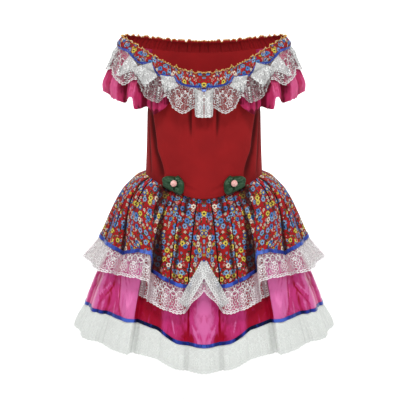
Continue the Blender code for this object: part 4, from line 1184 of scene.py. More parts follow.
# %% Second layer of lace at the sides
WING_START, WING_END, WING_BEHIND, WING_WAVES = 66.0, 108.0, 2.6, Wave(0.6, 19.0, 24)
wing_turn = np.linspace(WING_START, WING_END, 90)
wing_long = read(OVERSKIRT_LACE, "degrees", "length", wing_turn)
wing_along = along_edge(overskirt_edge(wing_turn))
wing_shares = np.linspace(0.02, 1, 14)
wing_falls = wing_shares[:, None] * (wing_long + scallops(wing_along, TOOTH))
wing_points = [overskirt_lace_point(wing_turn, fall, share,
                                    share * uneven(wing_along, WING_WAVES) - WING_BEHIND)
               for fall, share in zip(wing_falls, wing_shares)]
sew_layers("overskirt_lace_side_layers", [cloth_of(wing_points, wing_along,
                                                   wing_long - wing_falls)],
           hem_lace, "overskirt_lace", flat=(0.44, 0.046), rests_on=["overskirt_lace_frill"])

# %% Doubled lace along the inverted V
V_APEX, V_CORNER, V_END_DROP = np.array([0.0, 120.0]), np.array([8.2, 177.0]), 206.0
V_STRIP_IN, V_STRIP_OUT, V_PAST_MIDDLE = -6.0, 15.0, -1.5
V_PER_DEGREE, V_FORWARD, V_FLARES_BY = 3.7, 2.6, 50.0


def v_strip():
    """A straight folded strip of the same lace that lies over the edge of the inverted V."""
    way = (V_CORNER - V_APEX) * (V_PER_DEGREE, 1)
    long = np.linalg.norm(way)
    way = way / long
    end = long * (V_END_DROP - V_APEX[1]) / (V_CORNER[1] - V_APEX[1])
    along, width = np.linspace(0, end, 40), np.linspace(V_STRIP_IN, V_STRIP_OUT, 10)[:, None]
    turn = V_APEX[0] + (way[0] * along - way[1] * width) / V_PER_DEGREE
    turn = np.maximum(turn, V_PAST_MIDDLE)
    drop = V_APEX[1] + way[1] * along + way[0] * width
    hem = hem_drop(np.abs(turn))
    share = ramp(drop - hem - LACE_SEAM, 0, V_FLARES_BY)
    flare = read(OVERSKIRT_LACE, "degrees", "flare", np.abs(turn))
    out = overskirt_out(np.abs(turn), hem) + flare * share ** LACE_CURL + V_FORWARD
    return cloth_of(skirt_point(turn, drop, out), along, V_STRIP_OUT - width + 0 * along)


sew_layers("overskirt_lace_v_strips", [v_strip()], double_lace, "overskirt_lace",
           flat=(0.2, 0.022), held="folded", rests_on=["overskirt_lace_frill", "overskirt_front"])

# %% Ribbon round the overskirt
RIBBON_WIDTH, RIBBON_CREST = 6.5, 0.6
RIBBON_ROWS = np.array([-1, -0.75, -0.5, -0.25, 0])[:, None] * RIBBON_WIDTH
RIBBON_ROWS[-1] = 0.5
SHEET_AT_LEAST = 0.0101   # metres


def ribbon(node, points, off, rests_on, lie=0.0):
    """A narrow band of satin laid over a seam, from its lines of points, the top one first."""
    along = along_edge(points[-1])
    long, wide = 2 * along[-1] * MM, RIBBON_WIDTH * MM
    sew(node + "_band", all_round(cloth_of(points, along, lie=lie)), RIBBON_THICK, blue_satin,
        "blue_ribbon", [node], off, ring=True, flat=(long, max(wide, SHEET_AT_LEAST)),
        rests_on=rests_on, held="stretched", area=long * wide)


band_turn = half_turn(overskirt_edge, 2 * OVER_COLUMNS)
band_drop = hem_drop(band_turn) + RIBBON_ROWS * steepness(overskirt_edge(band_turn))
band_out = (overskirt_out(band_turn, band_drop)
            + RIBBON_CREST * pressed(fold_angle(band_turn, band_drop), band_drop))
ribbon("overskirt_ribbon", skirt_point(band_turn, band_drop, band_out), off=1.2,
       rests_on=["overskirt_front", "overskirt_back"])

# %% [markdown]
# ## The satin underskirt
#
# Under the printed skirt hangs a plain satin one. Satin creases in sharp diagonal drags from the
# places where it is held, and its broad folds have bright crests, which are also painted lighter,
# while painted shade lies in its deep folds. Its lace is a deeper, denser band that is hardly
# gathered.

# %% Underskirt
UNDER_COLUMNS, UNDER_ROWS, UNDER_PER_DEGREE = 190, 60, 5.6
UNDERSKIRT_CREASES = table(
    Crease, (8.2, 205, 7.4, 290, 4.0, 3.5, 0.7), (6.5, 248, 2, 292, -2.0, 4),
    (17.2, 236, 14.2, 278, -1.8, 2.2), (12, 214, 12.5, 290, 0.8, 8), (27, 230, 25, 290, 1.6, 7),
    (52.5, 205, 49.0, 250, 3.5, 3.5), (49.5, 250, 44.5, 288, 3.0, 3.5),
    (51.6, 246, 51, 284, -1.5, 2.6), (43.5, 205, 43.0, 240, 1.6, 5), (47, 226, 44, 262, -1.8, 4),
    (58.4, 218, 71, 272, -2.0, 2.6), (56.5, 224, 66, 276, 2.2, 4),
    (75.2, 212, 84, 240, -1.8, 2.4), (72, 214, 84, 262, 2.2, 5), (62, 180, 76, 250, 1.6, 6),
    (80, 250, 90, 280, -1.6, 4), (92, 170, 94, 262, 2.4, 7), (104, 150, 112, 240, 2.4, 6),
    (120, 170, 110, 270, -2.0, 6), (131, 150, 139, 240, 2.6, 6), (150, 160, 144, 262, 2.4, 7),
    (160, 180, 168, 270, 2.2, 6), (176, 170, 170, 250, 2.0, 6))
# Patches that raise and lower the satin and carry painted light and shade: lighter on the ridge
# near 45 degrees, at the front middle and at the side, darker in the deep fold beside the ridge,
# next to it and low down at the front.
UNDERSKIRT_RISE_AND_PAINTED_SHADING = table(
    Patch, (53.5, 210, 44.6, 282, 38.4, 196, 38.4, 282, 4.5, 0.8, 0.5),
    (38.4, 196, 38.4, 282, 20.4, 238, 19.4, 280, 0.8, 14.0, -0.92),
    (19.5, 238, 18.5, 280, 9.0, 216, 8.0, 275, 8.0, 3.0, -0.26),
    (-22, 240, 12, 280, -50, 240, -50, 280, 9.0, 1.0, -0.42),
    (7.4, 200, 3.2, 275, -9, 200, -9, 275, 5.5, 1.0, 0.36),
    (95, 200, 95, 282, 66, 210, 60, 282, 3.0, 4.0, 0.15))
# Painted shade on the ribbon where it crosses the deep folds.
UNDER_RIBBON_PAINTED_SHADE = table(
    Patch, (38.4, 0, 38.4, 1, 13, 0, 13, 1, 0.8, 6.0, -0.9),
    (75, 0, 75, 1, 56, 0, 56, 1, 6.0, 6.0, -0.6), (112, 0, 112, 1, 96, 0, 96, 1, 6.0, 6.0, -0.6),
    (152, 0, 152, 1, 131, 0, 131, 1, 6.0, 6.0, -0.6))
UNDER_WAVES = Wave(1.6, 46.0, 13)
LOOSE_FROM, LOOSE_BY, HELD_BY_RIBBON, CREASE_AT_HEM = 110.0, 170.0, 22.0, 0.2
# RIDGE_RISE raises the patches in mm; the other two say how strongly a crease is painted darker in
# its trough and lighter on its ridge.
RIDGE_RISE, CREASE_PAINTED_SHADE, CREASE_PAINTED_HIGHLIGHT = 3.2, 0.12, 0.34


def under_hem_drop(turn):
    return read(UNDERSKIRT_HEM, "degrees", "drop", turn)


def underskirt_surface(turn, drop):
    loose = ramp(drop, LOOSE_FROM, LOOSE_BY)
    free = loose * ramp(under_hem_drop(turn) - drop, 0, HELD_BY_RIBBON)
    creased = CREASE_AT_HEM * loose + (1 - CREASE_AT_HEM) * free
    out = (underskirt_out(turn, drop)
           - creased * troughs(UNDERSKIRT_CREASES, turn, drop, UNDER_PER_DEGREE)
           + free * RIDGE_RISE * np.tanh(patches(UNDERSKIRT_RISE_AND_PAINTED_SHADING, turn, drop))
           + loose * uneven(turn * UNDER_PER_DEGREE, UNDER_WAVES))
    return skirt_point(turn, drop, out)


def underskirt_edge(turn):
    return skirt_point(turn, under_hem_drop(turn), underskirt_out(turn, under_hem_drop(turn)))


under_turn = half_turn(underskirt_edge, UNDER_COLUMNS)
under_hem = under_hem_drop(under_turn)
under_drops = np.maximum(np.linspace(0, 1, UNDER_ROWS)[:, None] * under_hem, TOP_ROW)
under_points = underskirt_surface(under_turn, under_drops)
under_bent = troughs(UNDERSKIRT_CREASES, under_turn, under_drops, UNDER_PER_DEGREE)
# Painted shading of the satin: the patches above, with creases painted darker in their troughs and
# lighter on their ridges.
under_painted_shading = (patches(UNDERSKIRT_RISE_AND_PAINTED_SHADING, under_turn, under_drops)
             - np.where(under_bent > 0, CREASE_PAINTED_SHADE, CREASE_PAINTED_HIGHLIGHT) * under_bent)
sew_panels("underskirt", cloth_of(under_points, lengths_across(under_points), lie=under_painted_shading),
           under_turn, SATIN_THICK, pink_satin, "pink_satin", flat=(0.68, 0.30), area=0.178)


# %% Lace and ribbon round the underskirt
def underskirt_lace_point(turn, fall, share, waves):
    drop = under_hem_drop(turn) + LACE_SEAM + fall
    flare = read(UNDERSKIRT_LACE, "degrees", "flare", turn) * max(share, 0)
    return skirt_point(turn, drop, underskirt_out(turn, drop) + flare + waves + tucked(fall))


frill("underskirt", hem_lace, underskirt_edge, UNDERSKIRT_LACE, underskirt_lace_point, tooth=1.6,
      deep=1.5, seed=31, flat=(1.85, 0.062), area=0.106)
ribbon("underskirt_ribbon", underskirt_surface(under_turn, under_hem + RIBBON_ROWS), off=1.0,
       rests_on=["underskirt_front", "underskirt_back"],
       lie=patches(UNDER_RIBBON_PAINTED_SHADE, under_turn, 0 * under_turn))

# %% [markdown]
# ## The neck
#
# The neck is a tube of the printed cotton, gathered on elastic, that sits off the shoulders. Its
# top edge stands up as a narrow frill. A pleated lace frill hangs below it, and a blue ribbon
# hides that seam.

# %% Sizes of the neck
Tooth = namedtuple("Tooth", "degrees lift rise")
Flute = namedtuple("Flute", "degrees lift")
Share = namedtuple("Share", "share out")
Edge = namedtuple("Edge", "degrees rise")
NECK_TOP_WIDTH, NECK_TOP_DEPTH = 163.0, 80.0
NECK_LOW_WIDTH, NECK_LOW_DEPTH = 181.0, 93.0
NECK_HIGH = 20.0
NECK_DIP, NECK_DIP_POWER = 70.0, 2.6
NECK_DIP_BACK, NECK_DIP_BACK_POWER = 24.0, 2.0
CASING_DROP_FRONT, CASING_DROP_SIDE = 26.0, 21.0
CASING_PUFF, CASING_THICK, UNDER_CASING = 2.2, 4.0, 0.85
BODICE_WALL, LACE_WALL = 1.5, 1.1   # what the bodice and the lace take up beside the casing
NECK_PLEATS = table(
    Tooth, (0, 24, 0), (4.6, 23, 0.5), (5.4, 11, 17), (13.5, 25, 3), (19, 21, 8), (24, 16, 26),
    (29, 29, 8), (36, 30, 6), (47, 16, 26), (56, 30, 3), (66, 28, 6), (76, 16, 14), (87, 24, 8),
    (98, 15, 17), (110, 30, 3), (123, 16, 17), (135, 28, 4), (147, 14, 20), (157, 24, 4),
    (167, 10, 18), (180, 22, 2))
NECK_LACE_LENGTH, NECK_LACE_BEND = 58.0, 0.75
LACE_CLEAR, LACE_CLEAR_BY = 3.0, 0.17
SLEEVE_FRONT, SLEEVE_BACK = 22.7, 141.3
SLEEVE_CLEAR, SLEEVE_CLEAR_BY = 2.2, 8.0
SLEEVE_FLUTES = table(
    Flute, (22, 4), (27, 17), (34, 20), (41, 13), (50, 27), (58, 16), (68, 31), (78, 21),
    (89, 34), (100, 22), (111, 32), (121, 18), (131, 24), (142, 3))
SLEEVE_LENGTH_FRONT, SLEEVE_LENGTH_SIDE = 74.0, 103.0
SLEEVE_BELLY = table(Share, (0, 0), (0.18, 0.2), (0.38, 0.46), (0.56, 0.76), (0.8, 1.0),
                     (1, 0.94))
UP = np.array([0.0, 0.0, 1.0])


def sideways(turn):
    """0 at the front and back middle, 1 at the side."""
    return np.sin(np.radians(turn)) ** 2


def casing_deep(turn):
    return CASING_DROP_FRONT + (CASING_DROP_SIDE - CASING_DROP_FRONT) * sideways(turn)


def neck_edge(degrees, low):
    """A point of the neck casing, from its top edge (low 0) to its bottom edge (low 1)."""
    c, s = np.cos(np.radians(degrees)), np.sin(np.radians(degrees))
    dip = np.where(c > 0, NECK_DIP * np.abs(c) ** NECK_DIP_POWER,
                   NECK_DIP_BACK * np.abs(c) ** NECK_DIP_BACK_POWER)
    width = NECK_TOP_WIDTH + (NECK_LOW_WIDTH - NECK_TOP_WIDTH) * low
    depth = NECK_TOP_DEPTH + (NECK_LOW_DEPTH - NECK_TOP_DEPTH) * low
    return np.stack([width * s, -depth * c, NECK_HIGH - dip - casing_deep(degrees) * low], -1)


def neck_outward(degrees):
    angle = np.radians(degrees)
    return unit(np.stack([np.sin(angle) / NECK_LOW_WIDTH, -np.cos(angle) / NECK_LOW_DEPTH,
                          0 * angle], -1))


def casing_frame(degrees):
    """The casing's lower edge, with the directions out of it and down along it."""
    low = neck_edge(degrees, 1.0)
    down = low - neck_edge(degrees, 0.5) - neck_outward(degrees) * CASING_PUFF
    across = neck_edge(degrees + 1, 1.0) - neck_edge(degrees - 1, 1.0)
    return low, unit(np.cross(down, across)), unit(down)


print("neck opening, side to side:", 2 * NECK_TOP_WIDTH, "mm")

# %% Gathered casing with its header frill
CASING_COLUMNS, CASING_ROWS = 260, 22
CASING_GATHERS = Wave(1.0, 9.0, 41), Wave(0.4, 4.5, 42)
CASING_WAVE, CASING_WAVE_BODY = 0.3, 0.9
CASING_SPREAD, CASING_SPREAD_CURVE = 9.0, 0.7
CASING_CROSSWISE, CASING_LENGTHWISE = 1.25, 1.2   # gathered cloth is longer than it looks
HEADER_FRILL, HEADER_SHARE, HEADER_FLOPS, HEADER_WAVE = 5.0, 0.2, 0.8, 3.4
HEADER_NODS = Wave(2.8, 17.0, 43), Wave(1.26, 6.7, 44)
ELASTIC_PINCH, ELASTIC_SHARE = 1.6, 0.07


def casing_points(turn, along, up):
    """up is 1 at the frill's edge, 0.8 at the elastic's top and 0 at the lower seam."""
    low = ramp(up, 1 - HEADER_SHARE, 0)
    body = np.sin(np.pi * low) ** 0.8
    header = ramp(up, 1 - HEADER_SHARE, 1)
    waves = CASING_WAVE + CASING_WAVE_BODY * body + HEADER_WAVE * header
    out = (CASING_PUFF * body + waves * uneven(along, *CASING_GATHERS)
           + CASING_SPREAD * sideways(turn) * (1 - low) ** CASING_SPREAD_CURVE
           - ELASTIC_PINCH * np.exp(-((up - 1 + HEADER_SHARE) / ELASTIC_SHARE) ** 2))
    upright = HEADER_FRILL * (1 - HEADER_FLOPS * sideways(turn) ** 2)
    lift = header * (upright + uneven(along, *HEADER_NODS))
    return neck_edge(turn, low) + neck_outward(turn) * out[..., None] + UP * lift[..., None]


casing_turn = half_turn(lambda t: neck_edge(t, 0.5), CASING_COLUMNS)
casing_along = along_edge(neck_edge(casing_turn, 0.5))
casing_grid = casing_points(casing_turn, casing_along, np.linspace(1, 0, CASING_ROWS)[:, None])
casing_half = cloth_of(casing_grid, CASING_CROSSWISE * casing_along,
                       CASING_LENGTHWISE * lengths_down(casing_grid))
sew("neck_casing_gathers", all_round(casing_half), 1.0, (edged_calico, edged_reverse),
    "printed_cotton", ["neck_casing"], ring=True, flat=(1.05, 0.036),
    rests_on=["bodice_front", "bodice_back"])

# %% Flutter sleeves
SLEEVE_COLUMNS, SLEEVE_ROWS = 230, 26
SLEEVE_WIDEST = 80.0   # fall where the length of cloth is measured
SLEEVE_TUCK_UP, SLEEVE_TUCK_IN = 1.2, 0.9
FLUTE_PITCH, FLUTE_DEEP, FLUTE_LONG, FLUTES_START, FLUTES_BY = 21.0, 4.0, 1.6, 25.0, 0.125
FLUTE_MIDDLE, FLUTE_HEM_MIDDLE = 0.35, 0.45   # height of a ridge that stays where it was
FLUTE_WANDERS = ((6.5, 61, 1), (3.5, 37, 0))   # how far, over which length and from where
SLEEVE_PUCKERS = Wave(0.8, 7.0, 52)
SLEEVE_HEM = table(
    Edge, (22, 36), (23, 33), (25, 22), (27, 15), (29, 9.5), (31, 3), (32.8, 0), (35, 5),
    (37, 12), (38.5, 9), (41, 4.5), (43, 1), (46.5, -4.5), (48, -3.5), (48.8, 18), (51, 18),
    (53, 12), (55, 6), (57, 1), (59, -4.5), (61, -5), (63, -2.5), (65, 1), (68, -1.5),
    (71.2, 3.8), (74, -2), (78, -3.5), (81, 1), (85, 3.7), (89, 9), (94, 2), (99, 8), (105, 0),
    (111, 5), (116, 1), (122, 14), (128, 2), (134, 6), (142, 24))
# Patches of painted shade on the sleeve: at its front and under the neck lace.
SLEEVE_PAINTED_SHADE = table(
    Patch, (22, 54, 38, 82, 0, 54, 0, 82, 3.0, 1.0, -0.85),
    (54, 30, 44, 60, -9, 0, -9, 9, 5.0, 1.0, -0.6),
    (200, 34, 0, 52, -50, 34, -50, 52, 12.0, 1.0, -0.45))


def sleeve_length(turn):
    return SLEEVE_LENGTH_FRONT + (SLEEVE_LENGTH_SIDE - SLEEVE_LENGTH_FRONT) * sideways(turn)


def sleeve_out(turn, fall):
    """How far the sleeve stands out from the casing's lower edge at a fall below it."""
    lift = read(SLEEVE_FLUTES, "degrees", "lift", turn)
    out = lift * read(SLEEVE_BELLY, "share", "out", fall / sleeve_length(turn))
    clear = SLEEVE_CLEAR * np.minimum(1, fall / SLEEVE_CLEAR_BY)
    return np.where((turn > SLEEVE_FRONT) & (turn < SLEEVE_BACK), out + clear, 0.0)


def sleeve_edge(turn, fall):
    return neck_edge(turn, 1.0) + neck_outward(turn) * sleeve_out(turn, fall)[:, None]


def flutes(along):
    """Sharp ridges with rounded valleys between them, at uneven distances, from 0 to 1."""
    shifted = along + sum(far * np.sin(along * TWO_PI / long + start)
                          for far, long, start in FLUTE_WANDERS)
    return 1 - np.abs(np.sin(np.pi * shifted / FLUTE_PITCH)) ** 0.75


def sleeve_cloth():
    """The right sleeve, from the casing down to its fluted hem."""
    turn = spread(lambda t: sleeve_edge(t, sleeve_length(t)), SLEEVE_FRONT, SLEEVE_BACK,
                  SLEEVE_COLUMNS)
    along = along_edge(sleeve_edge(turn, SLEEVE_WIDEST))
    low, casing_out, casing_down = casing_frame(turn)
    top = low - casing_down * SLEEVE_TUCK_UP - casing_out * SLEEVE_TUCK_IN
    rise = read(SLEEVE_HEM, "degrees", "rise", turn, straight)
    share = np.linspace(0, 1, SLEEVE_ROWS)[:, None]
    ridge, ends = flutes(along), ramp(np.minimum(along, along[-1] - along), 0, FLUTES_START)
    fall = share * (sleeve_length(turn) - rise * share
                    + FLUTE_LONG * (ridge - FLUTE_HEM_MIDDLE) * ends * share ** 2)
    waves = (FLUTE_DEEP * (ridge - FLUTE_MIDDLE) * ends * share ** 0.8
             + uneven(along, SLEEVE_PUCKERS) * (1 - 0.6 * share))
    out = sleeve_out(turn, fall) + waves * ramp(share, 0, FLUTES_BY)
    grid = top + neck_outward(turn) * out[..., None] - UP * fall[..., None]
    return cloth_of(grid, along,
                    lie=patches(SLEEVE_PAINTED_SHADE, turn, share * (sleeve_length(turn) - rise)))


right_sleeve = sleeve_cloth()
for name, sleeve in (("sleeve_right", right_sleeve), ("sleeve_left", mirrored(right_sleeve))):
    sew(name + "_cloth", sleeve, SATIN_THICK, sleeve_satin, "pink_satin", [name],
        flat=(0.42, 0.10), area=0.034, rests_on=["neck_casing"])

# %% [markdown]
# ## The pleated neck lace
#
# The lace is folded into wide box pleats that stand away from the bodice and lie over the
# sleeves. Each pleat was folded up at a slant before it was sewn on, so its top edge climbs over
# the casing and drops back at the next one, and part of the pleat is double and looks whiter.
# The folded-under part is a second layer of the same lace just in front of the first.

# %% Neck lace
Wedge = namedtuple("Wedge", "start end low_end low_start")
LACE_TOP = table(
    Edge, (0, -8), (1.3, -8), (1.7, -1), (2.6, 1), (6.4, 0), (15, 0), (20.6, 10.5), (29.2, 3.5),
    (30.2, -1), (31, -1), (38.2, 15.5), (39.5, 14), (47.8, -1), (49, -1), (59.8, 9), (62, 8.5),
    (75.4, -1), (90, 0), (96, 9), (104, 14), (115, 1), (119, 12), (124, 13), (138, 1), (142, 12),
    (150, 11), (163, 1), (167, 8), (180, 5))
DOUBLED = table(
    Wedge, ((6.6, 0), (0.4, 8), (0.35, 57), (5.0, 57)),
    ((30, -3), (20.6, -10.5), (16.6, 4), (25.5, 26)),
    ((52.5, 17), (38.2, -15.5), (31.6, 4), (39.6, 34)), ((57.5, -4), (48.4, 6), (60, 43), (65, 45)),
    ((78, -1), (89, 0), (87, 44), (82, 46)), ((96, -9), (109, -7), (105, 42), (98, 42)),
    ((119, -12), (133, -4), (128, 44), (121, 44)), ((142, -12), (157, -6), (151, 44), (145, 44)))
# Painted shade on the neck lace where it hangs over the sleeve.
NECK_LACE_PAINTED_SHADE = table(Patch, (52, 14, 38, 58, 30, 6, 24, 40, 3.0, 3.0, -0.9))
NECK_LACE_COLUMNS, NECK_LACE_ROWS, FOLD_STEPS, FOLD_ROWS = 260, 18, 14, 14
ON_CASING, LACE_OFF, FOLD_FORWARD = 1.5, 0.5, 1.3
LEAST_RISE, LACE_WAVES_BY = 0.5, 0.25


def neck_lace_out(turn, share, fall):
    own = read(NECK_PLEATS, "degrees", "lift", turn) * np.maximum(share, 0) ** NECK_LACE_BEND
    return np.maximum(own, sleeve_out(turn, fall) + LACE_CLEAR * ramp(share, 0, LACE_CLEAR_BY))


def neck_lace_surface(turn, fall, waves=0.0):
    """Where the lace lies at a fall below the seam, or on the casing where that is negative."""
    below, up = np.maximum(fall, 0), ramp(-fall / casing_deep(turn), 0, 1)
    _, casing_out, casing_down = casing_frame(turn)
    rise = np.maximum(read(NECK_PLEATS, "degrees", "rise", turn), LEAST_RISE)
    root = np.sqrt(np.maximum(NECK_LACE_LENGTH ** 2 - 4 * rise * below, 0))
    share = (NECK_LACE_LENGTH - root) / (2 * rise)
    out = (neck_lace_out(turn, share, below) + waves * ramp(share, 0, LACE_WAVES_BY)
           + CASING_SPREAD * sideways(turn) * up ** CASING_SPREAD_CURVE
           + (CASING_PUFF + ON_CASING) * np.sin(np.pi * up) ** 0.6)
    points = neck_edge(turn, 1 - up) + neck_outward(turn) * out[..., None]
    points = points + casing_out * (CASING_THICK - LACE_WALL) / 2 + casing_down * UNDER_CASING
    return points - UP * below[..., None]


def lace_bottom(turn):
    return NECK_LACE_LENGTH - read(NECK_PLEATS, "degrees", "rise", turn)


def neck_lace_edge(turn):
    return neck_lace_surface(turn, lace_bottom(turn))


neck_turn = np.unique(np.concatenate([half_turn(neck_lace_edge, NECK_LACE_COLUMNS),
                                      column(LACE_TOP, "degrees")]))
neck_along = along_edge(neck_lace_edge(neck_turn))
neck_waves = gathers(neck_along, 2.0, 10.5, 61)
neck_top = -read(LACE_TOP, "degrees", "rise", neck_turn, straight)
neck_low = lace_bottom(neck_turn)
neck_falls = (neck_top + (neck_low + scallops(neck_along, SCALLOP_DEEP) - neck_top)
              * np.linspace(0, 1, NECK_LACE_ROWS)[:, None] ** 0.9)
neck_half = cloth_of(neck_lace_surface(neck_turn, neck_falls, neck_waves), neck_along,
                     neck_low - neck_falls, patches(NECK_LACE_PAINTED_SHADE, neck_turn, neck_falls))
sew("neck_lace_frill", all_round(neck_half), LACE_THICK, neck_lace, "white_lace", ["neck_lace"],
    LACE_OFF, ring=True, flat=(1.15, 0.072), area=0.072, rests_on=["neck_casing"])


# %% Folded-under parts of the neck lace
def doubled(wedge):
    """One folded-under part, between four corners given by angle and fall."""
    start, end, low_end, low_start = (np.array(corner, float) for corner in wedge)
    share = np.linspace(0, 1, FOLD_ROWS)[:, None, None]
    left, right = start + (low_start - start) * share, end + (low_end - end) * share
    place = left + (right - left) * np.linspace(0, 1, FOLD_STEPS + 1)[:, None]
    order = np.argsort(place[..., 0], axis=1)
    turn, fall = (np.take_along_axis(place[..., axis], order, 1) for axis in (0, 1))
    points = neck_lace_surface(turn, fall, np.interp(turn, neck_turn, neck_waves))
    return cloth_of(points, np.interp(turn, neck_turn, neck_along), lace_bottom(turn) - fall)


sew_layers("neck_lace_folds", [doubled(wedge) for wedge in DOUBLED], double_lace, "neck_lace",
           FOLD_FORWARD, flat=(0.36, 0.06), area=0.0205, rests_on=["neck_lace_frill"],
           held="folded")

# %% [markdown]
# ## The neck ribbon
#
# It is sewn on last and hides the raw top edge of the lace, so it follows that edge up and down
# over the casing.

# %% Neck ribbon
NECK_RIBBON_ROWS = np.array([-4.0, -2.64, -1.32, 0.0, 0.8])[:, None]
RIBBON_FOLLOWS = 0.7
ribbon("neck_ribbon", neck_lace_surface(neck_turn, RIBBON_FOLLOWS * neck_top + NECK_RIBBON_ROWS),
       off=0.35, rests_on=["neck_lace"])

# %% [markdown]
# ## The bodice
#
# The bodice is a simple tube of crimson cotton, two panels that narrow to the neck and leave
# the armholes open. It is pulled up to the casing at the middle and down to the bows at the
# waist, so soft drags run between those places.

# %% Bodice sizes
Tube = namedtuple("Tube", "height half_width half_depth squareness")
Panel = namedtuple("Panel", "side facing neckline_deg neckline_share area")
UNDERARM, HALF_AT_NECK = -143.0, 120.0
BODICE_TUBE = table(
    Tube, (-311, 126, 97, 2.3), (-274, 125.5, 95, 2.3), (-240, 124, 93.5, 2.3),
    (-200, 122.5, 94, 2.3), (-143, 121, 95, 2.3), (-100, 120, 92, 2.3), (-20, 119, 88, 2.3))
BODICE_PANELS = table(Panel, ("front", 1, 22, 0.62, 0.07), ("back", -1, 38.8, 0.75, 0.08))
RAGLAN_SAG, RAGLAN_LEAN, TUBE_ENDS_AT, BODICE_TUCK = 1.5, 0.9, 0.45, 2.6
BODICE_COLUMNS, BODICE_ROWS, BODICE_PER_DEGREE = 200, 80, 2.0
NECK_HOLDS, WAIST_HOLDS, LOOSE_AT_WAIST = 8, 12, 0.25   # how soon creases fade near a seam
BODICE_CREASES = table(
    Crease, (62, -134, 51, -215, 5.5, 4.4, 3.2), (51, -213, 39, -266, 4.5, 4.2, 3.4),
    (12.6, -96, 12, -180, 3.2, 3.4, 2.6), (19, -120, 15, -205, 1.5, 9),
    (3.5, -105, 3, -160, 1.2, 3.5), (26, -112, 29, -150, 1.2, 8), (72, -150, 60, -262, 1.8, 5),
    (84, -150, 80, -250, 1.6, 5), (7, -297, 22, -280, 1.6, 4), (16, -232, 34, -255, 0.9, 8))
# Painted shade on the bodice: on its side beyond the drag from the armpit, and beside the crease
# near the front.
BODICE_PAINTED_SHADE = table(
    Patch, (88, 134, 70, 266, 62.6, 134, 39.6, 266, 16.0, 3.6, -0.75),
    (22, 100, 12, 180, 12.8, 100, 12, 180, 7.0, 1.0, -0.45))
print("bodice height at the side:", UNDERARM - WAIST_SIDE, "mm")


# %% Bodice panels
def bodice_surface(degrees, height):
    """Level outline of the bodice at a height, with the direction out of it."""
    x, y, out_x, out_y = rounded(degrees, BODICE_TUBE, "height", height)
    return np.stack([x, y, height], -1), np.stack([out_x, out_y, 0 * out_x], -1)


def bodice_panel(cut):
    """A panel from side seam to side seam, the neck edge first."""
    share = np.linspace(-1, 1, BODICE_COLUMNS + 1)
    side, across = np.sign(share), np.abs(share)
    middle, neckline = 0 if cut.facing > 0 else 180, cut.neckline_share
    low_angle = 90 * across
    neck_angle = cut.neckline_deg * np.clip(across / neckline, 0, 1)
    low, casing_out, down = casing_frame(np.abs(middle - neck_angle))
    casing = low - casing_out * (CASING_THICK - BODICE_WALL) / 2 - down * BODICE_TUCK
    past = np.clip((across - neckline) / (1 - neckline), 0, 1)
    corner = casing[-1]
    raglan = UNDERARM + (corner[2] - UNDERARM) * (1 - past) ** RAGLAN_SAG
    top_height = np.where(past > 0, raglan, casing[:, 2])
    corner_angle = math.degrees(math.asin(np.abs(corner[0]) / HALF_AT_NECK))
    top_angle = np.where(past > 0, corner_angle + (90 - corner_angle) * past ** RAGLAN_LEAN,
                         corner_angle * across / neckline)
    at_neck, _ = bodice_surface(np.minimum(top_angle, corner_angle), casing[:, 2])
    pull = (casing * np.array([1, cut.facing, 1]) - at_neck) * (1 - past)[:, None]
    up = np.linspace(1, 0, BODICE_ROWS)[:, None]
    seam = waist_height(np.abs(middle - low_angle))
    height, angle = seam + (top_height - seam) * up, low_angle + (top_angle - low_angle) * up
    points, out = bodice_surface(angle, height)
    points = points + pull * (ramp(up, TUBE_ENDS_AT, 1) ** 2)[..., None]
    loose = (np.minimum(1, (1 - up) * NECK_HOLDS)
             * np.minimum(1, up * WAIST_HOLDS + LOOSE_AT_WAIST))
    dent = troughs(BODICE_CREASES, angle, height, BODICE_PER_DEGREE) * loose
    points = points - out * dent[..., None]
    points[..., 0] *= side + (side == 0)
    if cut.facing < 0:
        points = points[:, ::-1] * np.array([1, -1, 1])
    return cloth_of(points, lengths_across(points), lie=patches(BODICE_PAINTED_SHADE, angle, -height))


for cut in BODICE_PANELS:
    sew(f"bodice_{cut.side}_cloth", bodice_panel(cut), COTTON_THICK, crimson_cotton,
        "bodice_cotton", ["bodice_" + cut.side], area=cut.area, flat=(0.34, 0.26),
        held="stretched", rests_on=["neck_casing"])

# %% [markdown]
# ## Bows and pearls
#
# Each bow is two loops of dark green satin, folded flat and caught down by a small pale pink
# pearl. One loop points outwards, the other curls round below the pearl.

# %% Bows
Rim = namedtuple("Rim", "degrees reach")
Dent = namedtuple("Dent", "degrees width deep")
BOW_DEGREES, BOW_RAISED, BOW_TILT = 26.5, 18.0, 16.0
BOW_THICK, BOW_CLEAR, BOW_BASE = 8.5, 0.3, 0.2
BOW_STEPS, BOW_RINGS = 120, 18
BOW_OUTLINE = table(
    Rim, (-17, 20.2), (12, 18), (41, 16.5), (62, 17), (80, 18.5), (93, 15.5), (108, 16),
    (132, 21), (152, 28.9), (162, 32), (172, 31), (181, 28.5), (190, 29), (203, 24.5),
    (222, 19.5), (250, 17.5), (270, 18.5), (284, 22), (298, 26), (315, 25.2), (330, 22),
    (343, 20.2))
BOW_DENTS = table(
    Dent, (96, 7, 0.9), (266, 8, 0.85), (176, 5, 0.55), (148, 7, 0.3), (205, 8, 0.35),
    (228, 7, 0.25), (20, 9, 0.25), (-38, 8, 0.35), (55, 8, 0.25), (310, 6, 0.3))
CRESCENT_START, CRESCENT_TURN, CRESCENT_RAISED = -83, 178, 0.22


def bow_reach(degrees):
    first = BOW_OUTLINE[0].degrees
    return float(read(BOW_OUTLINE, "degrees", "reach", (degrees - first) % 360 + first,
                      straight))


